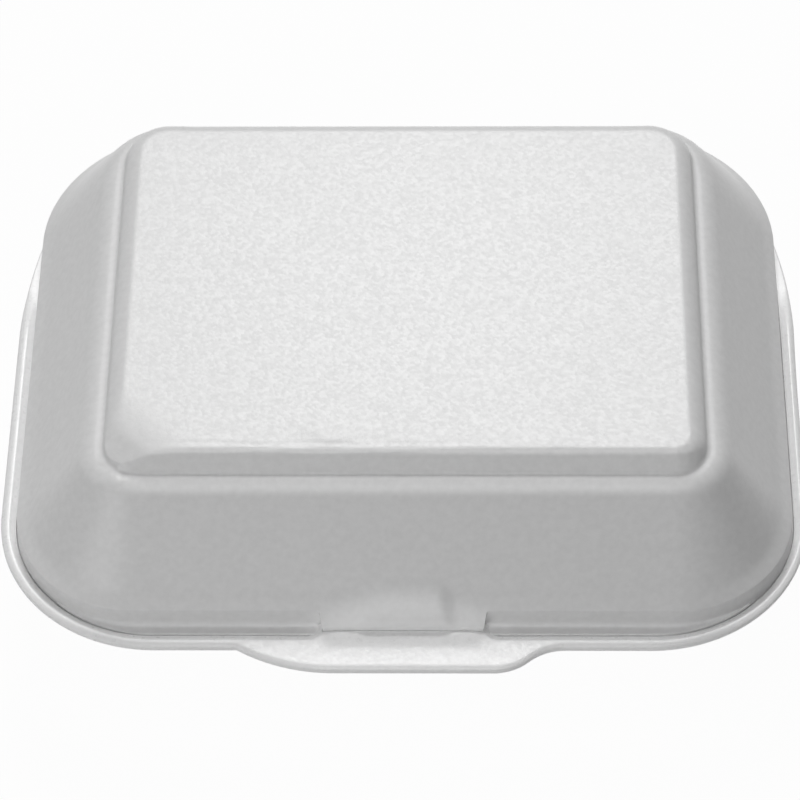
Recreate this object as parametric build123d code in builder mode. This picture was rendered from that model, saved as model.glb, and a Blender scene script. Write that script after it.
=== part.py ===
from build123d import *
import os
from math import atan2, cos, sin, sqrt, tan

# Foam clamshell food box, closed: a tray and a lid formed from one foam sheet and joined by a living hinge.
# Lengths are in millimetres. The origin is the middle of the tray's resting face, +Z is up, the latch is at
# the front (-Y) and the hinge at the back (+Y).

# Foam sheet and working clearances
sheet = 2.2
seat_gap = 0.2
nest_clearance = 0.4
overrun = 5.0

# Lid plan, measured at its lip, and the corner radii of its top panel
lip_width = 229.6
lip_depth = 191.9
panel_front_radius = 1.8
panel_back_radius = 13.3

# Lid section from the foot up: drafted skirt, flared lip, wall, ledge, step and top panel
skirt_height = 7.3
skirt_draft = 0.6
flare_run = 3.5
flare_rise = 3.0
wall_run = 18.0
wall_rise = 26.9
ledge_width = 5.5
ledge_back_width = 1.5
ledge_rise = 0.5
step_run = 3.0
step_rise = 6.1
flare_radius = 14.0
ledge_radius = 4.0
ledge_back_radius = 3.0
step_foot_radius = 1.0
panel_edge_radius = 7.0
panel_margin = 0.4
foot_flange_thickness = 1.3

# Tray: seat height above the table, and the drafted wall from the mouth down to the floor.
# The tray is as deep as the lid is tall, so the opened box stands on both halves.
seat_height = 43.6
mouth_inset = 4.5
mouth_radius = 3.0
tray_wall_run = 26.0
tray_floor_radius = 8.0
floor_front_radius = 4.0
floor_back_radius = 15.5
floor_margin = 0.4

# Tray rim: how far it reaches past the lid's lip, and its raised bead
rim_side_reach = 5.4
rim_front_reach = 9.95
rim_back_reach = 0.6
rim_front_radius = 48.0
rim_taper_start = 15.0
bead_height = 2.4
bead_front_width = 5.2
bead_inner_radius = 43.0
bead_back_end = 36.0
bead_fade = 24.0
bead_radius = 1.8
bead_round_share = 0.46

# Front tab of the rim, with one long flank and one short one
tab_reach = 8.1
tab_flat_left = 20.0
tab_flat_right = 26.0
tab_root_left = 48.2
tab_root_right = 47.0
tab_thickness = 3.2

# Latch: the lid's tongue goes through a slot behind the tab
tongue_top_width = 48.6
tongue_foot_width = 46.2
tongue_tip_width = 39.0
tongue_lean = 3.75
tongue_tip_drop = 5.0
tongue_bend_radius = 2.6
slot_clearance = 0.35
slot_cheek = 1.8

# Boss pressed into the tongue
boss_top_left = 9.8
boss_top_right = 12.2
boss_foot_left = 17.0
boss_foot_right = 15.3
boss_rise = 6.5
boss_lift = 0.4

# Living hinge: two strips bevelled to a round fold line
hinge_reach = 5.05
hinge_length = 132.0
fold_radius = 0.9
fold_clearance = 0.15

# Lid levels and reaches
lid_foot = seat_height + seat_gap
lip_level = seat_height + skirt_height
flare_level = lip_level + flare_rise
ledge_level = flare_level + wall_rise
step_level = ledge_level + ledge_rise
panel_level = step_level + step_rise
wall_top_inset = flare_run + wall_run
step_inset = wall_top_inset + ledge_width
wall_back_inset = step_inset - ledge_back_width
panel_edge_inset = step_inset + step_run
step_angle = atan2(step_rise, step_run)
panel_inset = panel_edge_inset + panel_edge_radius * tan(step_angle / 2) + panel_margin
lip_front_radius = panel_front_radius + panel_inset
lip_back_radius = panel_back_radius + panel_inset
lip_half_width = lip_width / 2
lip_half_depth = lip_depth / 2
lip_front_x = lip_half_width - lip_front_radius
lip_front_y = lip_half_depth - lip_front_radius
lip_back_x = lip_half_width - lip_back_radius
lip_back_y = lip_half_depth - lip_back_radius

# Tray levels and reaches
mouth_half_width = lip_half_width - mouth_inset
mouth_half_depth = lip_half_depth - mouth_inset
tray_wall_angle = atan2(seat_height, tray_wall_run)
floor_inset = tray_wall_run + tray_floor_radius * tan(tray_wall_angle / 2) + floor_margin
mouth_front_radius = floor_front_radius + floor_inset
mouth_back_radius = floor_back_radius + floor_inset
rim_half_width = lip_half_width + rim_side_reach
rim_front = lip_half_depth + rim_front_reach
flange_underside = seat_height - sheet
bead_level = seat_height + bead_height
bead_inner_half_width = lip_half_width + skirt_draft + nest_clearance
bead_inner_front = rim_front - bead_front_width
tab_underside = bead_level - tab_thickness

# The rim's long side arcs, from where they leave the straight sides to the back corners
back_radius = lip_back_radius + rim_back_reach
taper_across = rim_half_width - lip_back_x
taper_along = lip_back_y - rim_taper_start
taper_radius = (taper_across**2 + taper_along**2 - back_radius**2) / (2 * (taper_across - back_radius))
taper_centre_x = rim_half_width - taper_radius

# The bead's top is rounded as far as its narrowest stretch allows: side, corner or back end
bead_side_width = rim_half_width - bead_inner_half_width
bead_corner_step = rim_front_radius - bead_inner_radius
bead_corner_width = bead_corner_step + (bead_side_width + bead_front_width - 2 * bead_corner_step) / sqrt(2)
bead_end_width = (
    taper_centre_x + sqrt(taper_radius**2 - (bead_back_end - rim_taper_start) ** 2) - bead_inner_half_width
)
bead_narrowest = min(bead_side_width, bead_front_width, bead_corner_width, bead_end_width)
bead_round = min(bead_radius, bead_round_share * bead_narrowest)

# Tongue and slot places along Y, measured from the origin
tongue_face = lip_half_depth + tongue_lean
tongue_back = tongue_face - sheet
tongue_tip = flange_underside - tongue_tip_drop
slot_front = tongue_face + slot_clearance
slot_back = tongue_back - slot_clearance
slot_half_width = tongue_foot_width / 2 + slot_clearance
cheek_half_width = slot_half_width + slot_cheek
cheek_back = lip_half_depth + skirt_draft + nest_clearance

# Foot flange in front of the lid, inside the bead: it dies into the skirt towards the sides
foot_half_width = lip_half_width + skirt_draft - nest_clearance
foot_front = bead_inner_front - nest_clearance
foot_corner_radius = bead_inner_radius - nest_clearance
foot_gap_half_width = cheek_half_width + nest_clearance

# Boss top, where its ramp meets the wall
boss_run = boss_rise * wall_run / wall_rise

# Hinge axis
hinge_y = lip_half_depth + hinge_reach
hinge_z = seat_height + seat_gap / 2


def rounded_outline(half_width, half_depth, front_radius, back_radius):
    """Draws a closed rectangle with its own front and back corner radii, from the middle of the front."""
    front_x = half_width - front_radius
    back_x = half_width - back_radius
    front_y = half_depth - front_radius
    back_y = half_depth - back_radius
    Line((0, -half_depth), (front_x, -half_depth))
    CenterArc((front_x, -front_y), front_radius, -90, 90)
    Line((half_width, -front_y), (half_width, back_y))
    CenterArc((back_x, back_y), back_radius, 0, 90)
    Line((back_x, half_depth), (-back_x, half_depth))
    CenterArc((-back_x, back_y), back_radius, 90, 90)
    Line((-half_width, back_y), (-half_width, -front_y))
    CenterArc((-front_x, -front_y), front_radius, 180, 90)
    Line((-front_x, -half_depth), (0, -half_depth))


def lip_outline(inset):
    """Draws the lid's plan outline, moved inwards by inset from its lip."""
    rounded_outline(
        lip_half_width - inset,
        lip_half_depth - inset,
        lip_front_radius - inset,
        lip_back_radius - inset,
    )


def mouth_outline(inset):
    """Draws the tray's plan outline, moved inwards by inset from its mouth."""
    rounded_outline(
        mouth_half_width - inset,
        mouth_half_depth - inset,
        mouth_front_radius - inset,
        mouth_back_radius - inset,
    )


def rim_outline():
    """Draws the tray's rim: straight sides that draw in towards the hinge in one long arc each."""
    taper_angle = atan2(taper_along, lip_back_x - taper_centre_x)
    join = (lip_back_x + back_radius * cos(taper_angle), lip_back_y + back_radius * sin(taper_angle))
    front_x = rim_half_width - rim_front_radius
    front_y = rim_front_radius - rim_front
    back_y = lip_back_y + back_radius
    Line((0, -rim_front), (front_x, -rim_front))
    TangentArc((front_x, -rim_front), (rim_half_width, front_y), tangent=(1, 0))
    Line((rim_half_width, front_y), (rim_half_width, rim_taper_start))
    TangentArc((rim_half_width, rim_taper_start), join, tangent=(0, 1))
    TangentArc((lip_back_x, back_y), join, tangent=(1, 0))
    Line((lip_back_x, back_y), (0, back_y))
    mirror(about=Plane.YZ)


def tab_outline():
    """Draws the front tab: a long arc on its left flank and an S-curve on its right."""
    front = -rim_front - tab_reach
    inside = -rim_front + bead_front_width / 2
    bend = ((tab_flat_right + tab_root_right) / 2, -rim_front - tab_reach / 2)
    flat = Line((-tab_flat_left, front), (tab_flat_right, front))
    TangentArc(flat @ 0, (-tab_root_left, -rim_front), tangent=(-1, 0))
    short = TangentArc(flat @ 1, bend, tangent=(1, 0))
    TangentArc(bend, (tab_root_right, -rim_front), tangent=short % 1)
    Polyline(
        (tab_root_right, -rim_front),
        (tab_root_right, inside),
        (-tab_root_left, inside),
        (-tab_root_left, -rim_front),
    )


def lid_section(wall_inset, wall_radius):
    """Draws the lid's sheet in section, measured in from its lip: skirt, lip, wall, ledge, step and panel."""
    FilletPolyline(
        (-skirt_draft * (1 + overrun / skirt_height), lid_foot - overrun),
        (0, lip_level),
        (flare_run, flare_level),
        (wall_inset, ledge_level),
        (step_inset, step_level),
        (panel_edge_inset, panel_level),
        (panel_inset, panel_level),
        radius=(0, flare_radius, wall_radius, step_foot_radius, panel_edge_radius),
    )


def section_plane(x, y, inward_x, inward_y):
    """Gives the upright plane of a section at a point of the lip: its X goes inwards and its Y goes up."""
    return Plane(origin=(x, y, 0), x_dir=(inward_x, inward_y, 0), z_dir=(inward_y, -inward_x, 0))


def tray_section():
    """Draws the tray's sheet in section, from the flange over the mouth and down the wall to the floor."""
    front = -mouth_half_depth
    FilletPolyline(
        (front - mouth_inset, seat_height),
        (front, seat_height),
        (front + tray_wall_run, sheet),
        (front + floor_inset, sheet),
        radius=(mouth_radius, tray_floor_radius),
    )


def latch_front(bottom_width, top_width, bottom, top):
    """Draws an even trapezium seen from the front, between two heights."""
    Polygon(
        (-bottom_width / 2, bottom),
        (bottom_width / 2, bottom),
        (top_width / 2, top),
        (-top_width / 2, top),
        align=None,
    )


# Raised bead round the rim, which fades into the flange towards the hinge, with the front tab and slot cheeks
with BuildPart() as raised:
    with BuildSketch(Plane.XY.offset(tab_underside)):
        with BuildLine():
            rim_outline()
        make_face()
        with BuildLine():
            rounded_outline(bead_inner_half_width, bead_inner_front, bead_inner_radius, bead_inner_radius)
        make_face(mode=Mode.SUBTRACT)
        with Locations((0, bead_back_end)):
            Rectangle(
                2 * rim_half_width,
                2 * lip_depth,
                align=(Align.CENTER, Align.MIN),
                mode=Mode.SUBTRACT,
            )
        with BuildLine():
            tab_outline()
        make_face()
        with Locations((0, -bead_inner_front - bead_round)):
            Rectangle(
                2 * cheek_half_width,
                bead_inner_front + bead_round - cheek_back,
                align=(Align.CENTER, Align.MIN),
            )
    extrude(amount=tab_thickness)
    top_edges = raised.faces().sort_by(Axis.Z)[-1].edges()
    fillet(top_edges - top_edges.group_by(Axis.Y)[-1], bead_round)
    with BuildSketch(Plane.YZ.offset(-rim_half_width - overrun)):
        Polygon(
            (-rim_front - tab_reach - overrun, tab_underside),
            (bead_back_end, tab_underside),
            (bead_back_end, seat_height),
            (bead_back_end - bead_fade, bead_level),
            (-rim_front - tab_reach - overrun, bead_level),
            align=None,
        )
    extrude(amount=2 * (rim_half_width + overrun), mode=Mode.INTERSECT)

# Tray with its rim, tab, slot and half of the hinge
with BuildPart() as base_tray:
    with BuildLine() as mouth_path:
        mouth_outline(0)
    with BuildSketch(Plane.YZ):
        with BuildLine():
            tray_section()
            offset(amount=sheet, side=Side.RIGHT)
        make_face()
    sweep(path=mouth_path.wire())
    with BuildSketch():
        with BuildLine():
            mouth_outline(floor_inset)
        make_face()
    extrude(amount=sheet)
    # Flat flange from the mouth out to the rim
    with BuildSketch(Plane.XY.offset(flange_underside)):
        with BuildLine():
            rim_outline()
        make_face()
        with BuildLine():
            mouth_outline(-mouth_inset)
        make_face(mode=Mode.SUBTRACT)
    extrude(amount=sheet)
    add(raised.part)
    # Slot for the lid's tongue
    with BuildSketch(Plane.XY.offset(flange_underside - overrun)):
        with Locations((0, -slot_front)):
            Rectangle(2 * slot_half_width, slot_front - slot_back, align=(Align.CENTER, Align.MIN))
    extrude(amount=sheet + bead_height + 2 * overrun, mode=Mode.SUBTRACT)
    # Hinge strip bevelled to the fold line
    with BuildSketch(Plane.YZ.offset(-hinge_length / 2)):
        with BuildLine():
            Polyline(
                (lip_half_depth, seat_height),
                (hinge_y, seat_height),
                (hinge_y - sheet, flange_underside),
                (lip_half_depth, flange_underside),
                close=True,
            )
        make_face()
        with Locations((hinge_y, hinge_z)):
            Circle(fold_radius)
    extrude(amount=hinge_length)

# Tongue: the lip's sheet bent outwards and down through the slot, narrower towards its tip
with BuildPart() as tongue:
    with BuildSketch(Plane.YZ.offset(-tongue_top_width / 2)):
        with BuildLine():
            FilletPolyline(
                (-lip_half_depth, lip_level),
                (-tongue_face, bead_level),
                (-tongue_face, tongue_tip),
                radius=(tongue_bend_radius,),
            )
            offset(amount=sheet, side=Side.LEFT)
        make_face()
    extrude(amount=tongue_top_width)
    with BuildSketch(Plane.XZ.offset(lip_half_depth - overrun)):
        latch_front(tongue_tip_width, tongue_foot_width, tongue_tip, bead_level)
        latch_front(tongue_foot_width, tongue_top_width, bead_level, lip_level + overrun)
    extrude(amount=tongue_lean + 2 * overrun, mode=Mode.INTERSECT)

# Boss: a straight ramp from the wall down to the foot of the tongue, which stiffens the bend
with BuildPart() as boss:
    with BuildSketch(Plane.YZ.offset(-boss_foot_left)):
        with BuildLine():
            Polyline(
                (flare_run + boss_run - lip_half_depth, flare_level + boss_rise),
                (boss_lift - tongue_face, bead_level + boss_lift),
                (sheet / 2 - tongue_face, bead_level + boss_lift),
                (sheet / 2 - lip_half_depth, lip_level),
                (flare_run + sheet / 2 - lip_half_depth, flare_level),
                close=True,
            )
        make_face()
    extrude(amount=boss_foot_left + boss_foot_right)
    with BuildSketch(Plane.XZ.offset(lip_half_depth - flare_run - boss_run - overrun)):
        Polygon(
            (-boss_foot_left, bead_level),
            (boss_foot_right, bead_level),
            (boss_top_right, flare_level + boss_rise),
            (-boss_top_left, flare_level + boss_rise),
            align=None,
        )
    extrude(amount=tongue_lean + flare_run + boss_run + 2 * overrun, mode=Mode.INTERSECT)

# Back of the lid's shell: the ledge narrows round the corners, which a section at each bend sets
with BuildPart() as lid_back:
    with BuildLine() as back_path:
        Line((lip_half_width, 0), (lip_half_width, lip_back_y))
        CenterArc((lip_back_x, lip_back_y), lip_back_radius, 0, 90)
        Line((lip_back_x, lip_half_depth), (-lip_back_x, lip_half_depth))
        CenterArc((-lip_back_x, lip_back_y), lip_back_radius, 90, 90)
        Line((-lip_half_width, lip_back_y), (-lip_half_width, 0))
    back_sections = []
    for place, wall_inset, wall_radius in (
        (section_plane(lip_half_width, 0, -1, 0), wall_top_inset, ledge_radius),
        (section_plane(lip_half_width, lip_back_y, -1, 0), wall_top_inset, ledge_radius),
        (section_plane(lip_back_x, lip_half_depth, 0, -1), wall_back_inset, ledge_back_radius),
        (section_plane(-lip_back_x, lip_half_depth, 0, -1), wall_back_inset, ledge_back_radius),
        (section_plane(-lip_half_width, lip_back_y, 1, 0), wall_top_inset, ledge_radius),
        (section_plane(-lip_half_width, 0, 1, 0), wall_top_inset, ledge_radius),
    ):
        with BuildSketch(place) as back_section:
            with BuildLine():
                lid_section(wall_inset, wall_radius)
                offset(amount=sheet, kind=Kind.INTERSECTION, side=Side.RIGHT)
            make_face()
        back_sections.append(back_section.sketch)
    sweep(sections=back_sections, path=back_path.wire(), multisection=True)

# Lid with its tongue and the other half of the hinge
with BuildPart() as lid:
    with BuildLine() as front_path:
        Line((-lip_half_width, 0), (-lip_half_width, -lip_front_y))
        CenterArc((-lip_front_x, -lip_front_y), lip_front_radius, 180, 90)
        Line((-lip_front_x, -lip_half_depth), (lip_front_x, -lip_half_depth))
        CenterArc((lip_front_x, -lip_front_y), lip_front_radius, -90, 90)
        Line((lip_half_width, -lip_front_y), (lip_half_width, 0))
    with BuildSketch(section_plane(-lip_half_width, 0, 1, 0)):
        with BuildLine():
            lid_section(wall_top_inset, ledge_radius)
            offset(amount=sheet, kind=Kind.INTERSECTION, side=Side.RIGHT)
        make_face()
    sweep(path=front_path.wire())
    add(lid_back.part)
    split(bisect_by=Plane.XY.offset(lid_foot))
    # Top panel, which laps over the shell's flat edge
    with BuildSketch(Plane.XY.offset(panel_level - sheet)):
        with BuildLine():
            lip_outline(panel_inset - panel_margin / 2)
        make_face()
    extrude(amount=sheet)
    # Foot flange in front, on both sides of the tongue
    with BuildSketch(Plane.XY.offset(lid_foot)):
        with BuildLine():
            rounded_outline(foot_half_width, foot_front, foot_corner_radius, foot_corner_radius)
        make_face()
        with BuildLine():
            lip_outline(sheet / 2)
        make_face(mode=Mode.SUBTRACT)
        Rectangle(lip_width + overrun, lip_depth, align=(Align.CENTER, Align.MIN), mode=Mode.SUBTRACT)
        Rectangle(2 * foot_gap_half_width, 2 * rim_front, mode=Mode.SUBTRACT)
    extrude(amount=foot_flange_thickness)
    # The skirt gives way to the tongue at the front
    with BuildSketch(Plane.XZ.offset(lip_half_depth - sheet - flare_run)):
        latch_front(tongue_foot_width, tongue_foot_width, lid_foot - overrun, lip_level - sheet)
    extrude(amount=sheet + flare_run + overrun, mode=Mode.SUBTRACT)
    add(tongue.part)
    add(boss.part)
    # Hinge strip bevelled to the fold line, with a cove that turns on it
    with BuildSketch(Plane.YZ.offset(-hinge_length / 2)):
        with BuildLine():
            Polyline(
                (lip_half_depth, lid_foot),
                (hinge_y, lid_foot),
                (hinge_y - sheet, lid_foot + sheet),
                (lip_half_depth, lid_foot + sheet),
                close=True,
            )
        make_face()
        with Locations((hinge_y, hinge_z)):
            Circle(fold_radius + fold_clearance, mode=Mode.SUBTRACT)
    extrude(amount=hinge_length)

os.makedirs("parts", exist_ok=True)
base_tray.part.label = "base_tray"
export_step(base_tray.part, "parts/base_tray.step")
lid.part.label = "lid"
export_step(lid.part, "parts/lid.step")
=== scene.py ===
import logging
import math
from dataclasses import dataclass, field
from enum import Enum
from typing import Callable, Sequence

import bmesh
import bpy
import numpy as np
from mathutils import Matrix, Vector, noise


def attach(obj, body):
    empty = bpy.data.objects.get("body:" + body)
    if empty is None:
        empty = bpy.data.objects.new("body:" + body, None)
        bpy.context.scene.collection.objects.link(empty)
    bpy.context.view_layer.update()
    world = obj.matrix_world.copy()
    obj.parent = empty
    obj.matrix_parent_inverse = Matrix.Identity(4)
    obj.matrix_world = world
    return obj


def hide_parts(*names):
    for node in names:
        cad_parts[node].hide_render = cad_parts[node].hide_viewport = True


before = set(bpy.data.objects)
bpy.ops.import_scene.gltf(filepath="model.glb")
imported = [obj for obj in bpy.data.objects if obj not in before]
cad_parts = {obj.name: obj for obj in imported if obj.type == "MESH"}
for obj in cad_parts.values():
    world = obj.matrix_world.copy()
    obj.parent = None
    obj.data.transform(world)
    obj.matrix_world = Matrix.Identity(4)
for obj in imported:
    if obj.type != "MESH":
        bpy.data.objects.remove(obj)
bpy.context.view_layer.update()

# Shapes are worked out in millimetres and become metres when a curve or a mesh is written.
MM = 0.001
LOG = logging.getLogger("foam_box")

Corner = tuple[float, float, float]
Place = tuple[float, float, float]


def add_node(
    nodes: bpy.types.Nodes, kind: str, settings: dict | None = None, inputs: dict | None = None
) -> bpy.types.Node:
    """Adds a node to a tree.

    Args:
        nodes: the tree's nodes.
        kind: the node's type.
        settings: its properties by name.
        inputs: values of its sockets, by name or number.

    Returns:
        The node.
    """
    node = nodes.new(kind)
    for name, value in (settings or {}).items():
        setattr(node, name, value)
    for socket, value in (inputs or {}).items():
        node.inputs[socket].default_value = value
    return node


def direction(azimuth: float, elevation: float) -> Vector:
    """Points from the box's front, turned to the right and raised by angles in radians."""
    flat = math.cos(elevation)
    return Vector((math.sin(azimuth) * flat, -math.cos(azimuth) * flat, math.sin(elevation)))


class FootKind(Enum):
    """What the lid's sheet does below its lip."""

    SKIRT = "skirt"
    TONGUE = "tongue"
    HINGE = "hinge"


class Face(Enum):
    """Which of the sheet's two faces a line of the section lies on."""

    OUTER = "outer"
    INNER = "inner"


def smooth_step(value: np.ndarray, low: float, high: float) -> np.ndarray:
    """Rises smoothly from 0 at low to 1 at high.

    Args:
        value: numbers to map.
        low: where the rise starts.
        high: where the rise ends; it may be below low, for a fall.

    Returns:
        The mapped numbers, from 0 to 1.
    """
    share = np.clip((np.asarray(value, float) - low) / (high - low), 0.0, 1.0)
    return share * share * (3.0 - 2.0 * share)


def bell(value: np.ndarray, width: float) -> np.ndarray:
    """Gives a bell curve of the given width, 1 at zero."""
    return np.exp(-((np.asarray(value, float) / width) ** 2))


def arc_height(radius: float, along: np.ndarray) -> np.ndarray:
    """Gives the height of an arc at distances from its middle, 0 beyond its radius."""
    return np.sqrt(np.maximum(radius**2 - along**2, 0.0))


def filleted_line(corners: Sequence[Corner], arc_steps: int = 14) -> np.ndarray:
    """Draws a line through corners, with a round arc at each corner that has a radius.

    Args:
        corners: across, up and radius of each corner in order.
        arc_steps: steps along each arc.

    Returns:
        The line's points, one row each.
    """
    points = [np.array(corners[0][:2], float)]
    for before, corner, after in zip(corners, corners[1:], corners[2:]):
        place = np.array(corner[:2], float)
        back = np.array(before[:2], float) - place
        ahead = np.array(after[:2], float) - place
        back /= np.linalg.norm(back)
        ahead /= np.linalg.norm(ahead)
        turn = math.pi - math.acos(float(np.clip(back @ ahead, -1.0, 1.0)))
        if corner[2] <= 0.0 or turn < 1e-4:
            points.append(place)
            continue
        reach = corner[2] * math.tan(turn / 2)
        middle = (back + ahead) / np.linalg.norm(back + ahead)
        centre = place + middle * corner[2] / math.cos(turn / 2)
        spoke = place + back * reach - centre
        side = math.copysign(1.0, float(-back[0] * ahead[1] + back[1] * ahead[0]))
        for step in range(arc_steps + 1):
            angle = side * turn * step / arc_steps
            turned = np.array(((math.cos(angle), -math.sin(angle)), (math.sin(angle), math.cos(angle))))
            points.append(centre + turned @ spoke)
    points.append(np.array(corners[-1][:2], float))
    return np.array(points)


def offset_corners(corners: Sequence[Corner], distance: float, least_radius: float) -> list[Corner]:
    """Moves a line's corners to its right by a sheet's thickness, and its radii with them.

    Args:
        corners: across, up and radius of each corner in order.
        distance: the sheet's thickness.
        least_radius: the radius left where the sheet is thicker than the bend.

    Returns:
        The corners of the line on the sheet's other face.
    """
    places = np.array([corner[:2] for corner in corners], float)
    runs = np.diff(places, axis=0)
    runs /= np.linalg.norm(runs, axis=1)[:, None]
    rights = np.column_stack((runs[:, 1], -runs[:, 0]))
    moved = []
    for index, corner in enumerate(corners):
        before = rights[max(index - 1, 0)]
        after = rights[min(index, len(rights) - 1)]
        shift = (before + after) / (1.0 + before @ after) * distance
        radius = corner[2]
        if 0 < index < len(corners) - 1:
            turn = runs[index - 1][0] * runs[index][1] - runs[index - 1][1] * runs[index][0]
            radius = max(corner[2] + math.copysign(distance, turn), least_radius)
        moved.append((corner[0] + shift[0], corner[1] + shift[1], radius))
    return moved


def spaced(line: np.ndarray, count: int, turn_weight: float) -> np.ndarray:
    """Samples a line with points that crowd where it bends.

    Args:
        line: the line's points.
        count: how many points to give.
        turn_weight: length that one radian of bend counts for.

    Returns:
        The samples, the line's two ends among them.
    """
    steps = np.diff(line, axis=0)
    lengths = np.linalg.norm(steps, axis=1)
    keep = np.concatenate(([True], lengths > 1e-7))
    line = line[keep]
    steps = np.diff(line, axis=0)
    lengths = np.linalg.norm(steps, axis=1)
    headings = np.unwrap(np.arctan2(steps[:, 1], steps[:, 0]))
    turns = np.abs(np.diff(headings))
    costs = lengths.copy()
    costs[:-1] += turn_weight * turns / 2
    costs[1:] += turn_weight * turns / 2
    places = np.concatenate(([0.0], np.cumsum(costs)))
    wanted = np.linspace(0.0, places[-1], count)
    return np.column_stack([np.interp(wanted, places, line[:, axis]) for axis in (0, 1)])


def cut_line(line: np.ndarray, axis: int, value: float) -> tuple[np.ndarray, np.ndarray]:
    """Cuts a line where it last rises through a value.

    Args:
        line: the line's points.
        axis: 0 for across, 1 for up.
        value: where to cut.

    Returns:
        The part before the cut and the part after it, both with the cut's own point.
    """
    index = int(np.flatnonzero(line[:, axis] < value)[-1])
    share = (value - line[index, axis]) / (line[index + 1, axis] - line[index, axis])
    place = line[index] + share * (line[index + 1] - line[index])
    return np.vstack((line[: index + 1], place)), np.vstack((place, line[index + 1 :]))


def graded_run(
    start: float, stop: float, coarse: float, fine: float, features: Sequence[float] = ()
) -> np.ndarray:
    """Places stations along a straight run, closer together near its features.

    Args:
        start: where the run starts.
        stop: where it ends, beyond start; the end itself is left to the next run.
        coarse: step away from the features.
        fine: step beside a feature.
        features: places that get a station of their own.

    Returns:
        The stations in order.
    """
    places = [start]
    while True:
        near = min((abs(places[-1] - feature) for feature in features), default=math.inf)
        step = fine if near < 1.5 * coarse else coarse
        if places[-1] + step > stop - 0.5 * step:
            break
        places.append(places[-1] + step)
    run = np.array(places)
    for feature in features:
        run[np.argmin(np.abs(run - feature))] = feature
    return run


@dataclass(frozen=True)
class StationPlan:
    """How closely stations follow each other round an outline.

    Attributes:
        front: coarse step along the front.
        side: step along the sides and the back.
        corner: step along the corner arcs, measured at the outline.
        fine: step beside a feature.
        front_features: places along X that the front's stations hit.
        back_features: places along X that the back's stations hit.
    """

    front: float = 1.5
    side: float = 2.6
    corner: float = 1.5
    fine: float = 0.35
    front_features: tuple[float, ...] = ()
    back_features: tuple[float, ...] = ()


@dataclass(frozen=True)
class PlanOutline:
    """A rectangle with its own front and back corner radii, seen from above."""

    half_width: float
    half_depth: float
    front_radius: float
    back_radius: float

    def stations(self, plan: StationPlan) -> tuple[np.ndarray, np.ndarray]:
        """Walks round the outline, anticlockwise from the left end of its front.

        Args:
            plan: how closely the stations follow each other.

        Returns:
            The stations' places and their outward directions.
        """
        front_x = self.half_width - self.front_radius
        back_x = self.half_width - self.back_radius
        front_y = self.half_depth - self.front_radius
        back_y = self.half_depth - self.back_radius
        front = graded_run(-front_x, front_x, plan.front, plan.fine, plan.front_features)
        on_back = [feature for feature in plan.back_features if abs(feature) <= back_x]
        beyond = [feature - back_x for feature in plan.back_features if feature > back_x]
        past_back = [self.back_radius * math.asin(past / self.back_radius) for past in beyond]
        quarter = self.back_radius * math.pi / 2
        back = -graded_run(-back_x, back_x, plan.side, plan.fine, on_back)
        side = graded_run(-front_y, back_y, plan.side, plan.side)
        other_side = -graded_run(-back_y, front_y, plan.side, plan.side)
        places, outs = [], []

        def run(x: np.ndarray, y: np.ndarray, out: tuple[float, float]) -> None:
            """Adds the stations of a straight run."""
            places.append(np.column_stack((x, y)))
            outs.append(np.tile(out, (len(x), 1)))

        def arc(x: float, y: float, radius: float, start: float, features: Sequence[float] = ()) -> None:
            """Adds the stations of a corner, a quarter turn from its start angle.

            Args:
                x: middle of the corner's arc.
                y: the same along Y.
                radius: the arc's radius.
                start: the angle it starts at.
                features: lengths along it that get a station of their own.
            """
            lengths = graded_run(0.0, radius * math.pi / 2, plan.corner, plan.fine, features)
            angles = start + lengths / radius
            ways = np.column_stack((np.cos(angles), np.sin(angles)))
            places.append(np.array((x, y)) + radius * ways)
            outs.append(ways)

        run(front, np.full(len(front), -self.half_depth), (0.0, -1.0))
        arc(front_x, -front_y, self.front_radius, -math.pi / 2)
        run(np.full(len(side), self.half_width), side, (1.0, 0.0))
        arc(back_x, back_y, self.back_radius, 0.0, [quarter - past for past in past_back])
        run(back, np.full(len(back), self.half_depth), (0.0, 1.0))
        arc(-back_x, back_y, self.back_radius, math.pi / 2, past_back)
        run(np.full(len(other_side), -self.half_width), other_side, (-1.0, 0.0))
        arc(-front_x, -front_y, self.front_radius, math.pi)
        return np.vstack(places), np.vstack(outs)


def reach_to(
    distance: Callable, places: np.ndarray, outs: np.ndarray, farthest: float = 60.0
) -> np.ndarray:
    """Measures how far each station can go outwards before it meets an outline around it.

    Args:
        distance: function that gives points' distances from the outline, negative inside it.
        places: the stations' places.
        outs: the stations' outward directions.
        farthest: a distance that is surely beyond the outline.

    Returns:
        One distance for each station.
    """
    low = np.zeros(len(places))
    high = np.full(len(places), farthest)
    for _ in range(48):
        middle = (low + high) / 2
        inside = distance(places + middle[:, None] * outs) < 0.0
        low = np.where(inside, middle, low)
        high = np.where(inside, high, middle)
    return low


def outline_distance(outline: PlanOutline, points: np.ndarray) -> np.ndarray:
    """Gives each point's distance from an outline, negative inside it.

    Args:
        outline: the outline.
        points: places, one row each.

    Returns:
        One distance for each point.
    """
    radius = np.where(points[:, 1] < 0.0, outline.front_radius, outline.back_radius)
    across = np.abs(points[:, 0]) - outline.half_width + radius
    along = np.abs(points[:, 1]) - outline.half_depth + radius
    outside = np.hypot(np.maximum(across, 0.0), np.maximum(along, 0.0))
    return outside + np.minimum(np.maximum(across, along), 0.0) - radius


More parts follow.
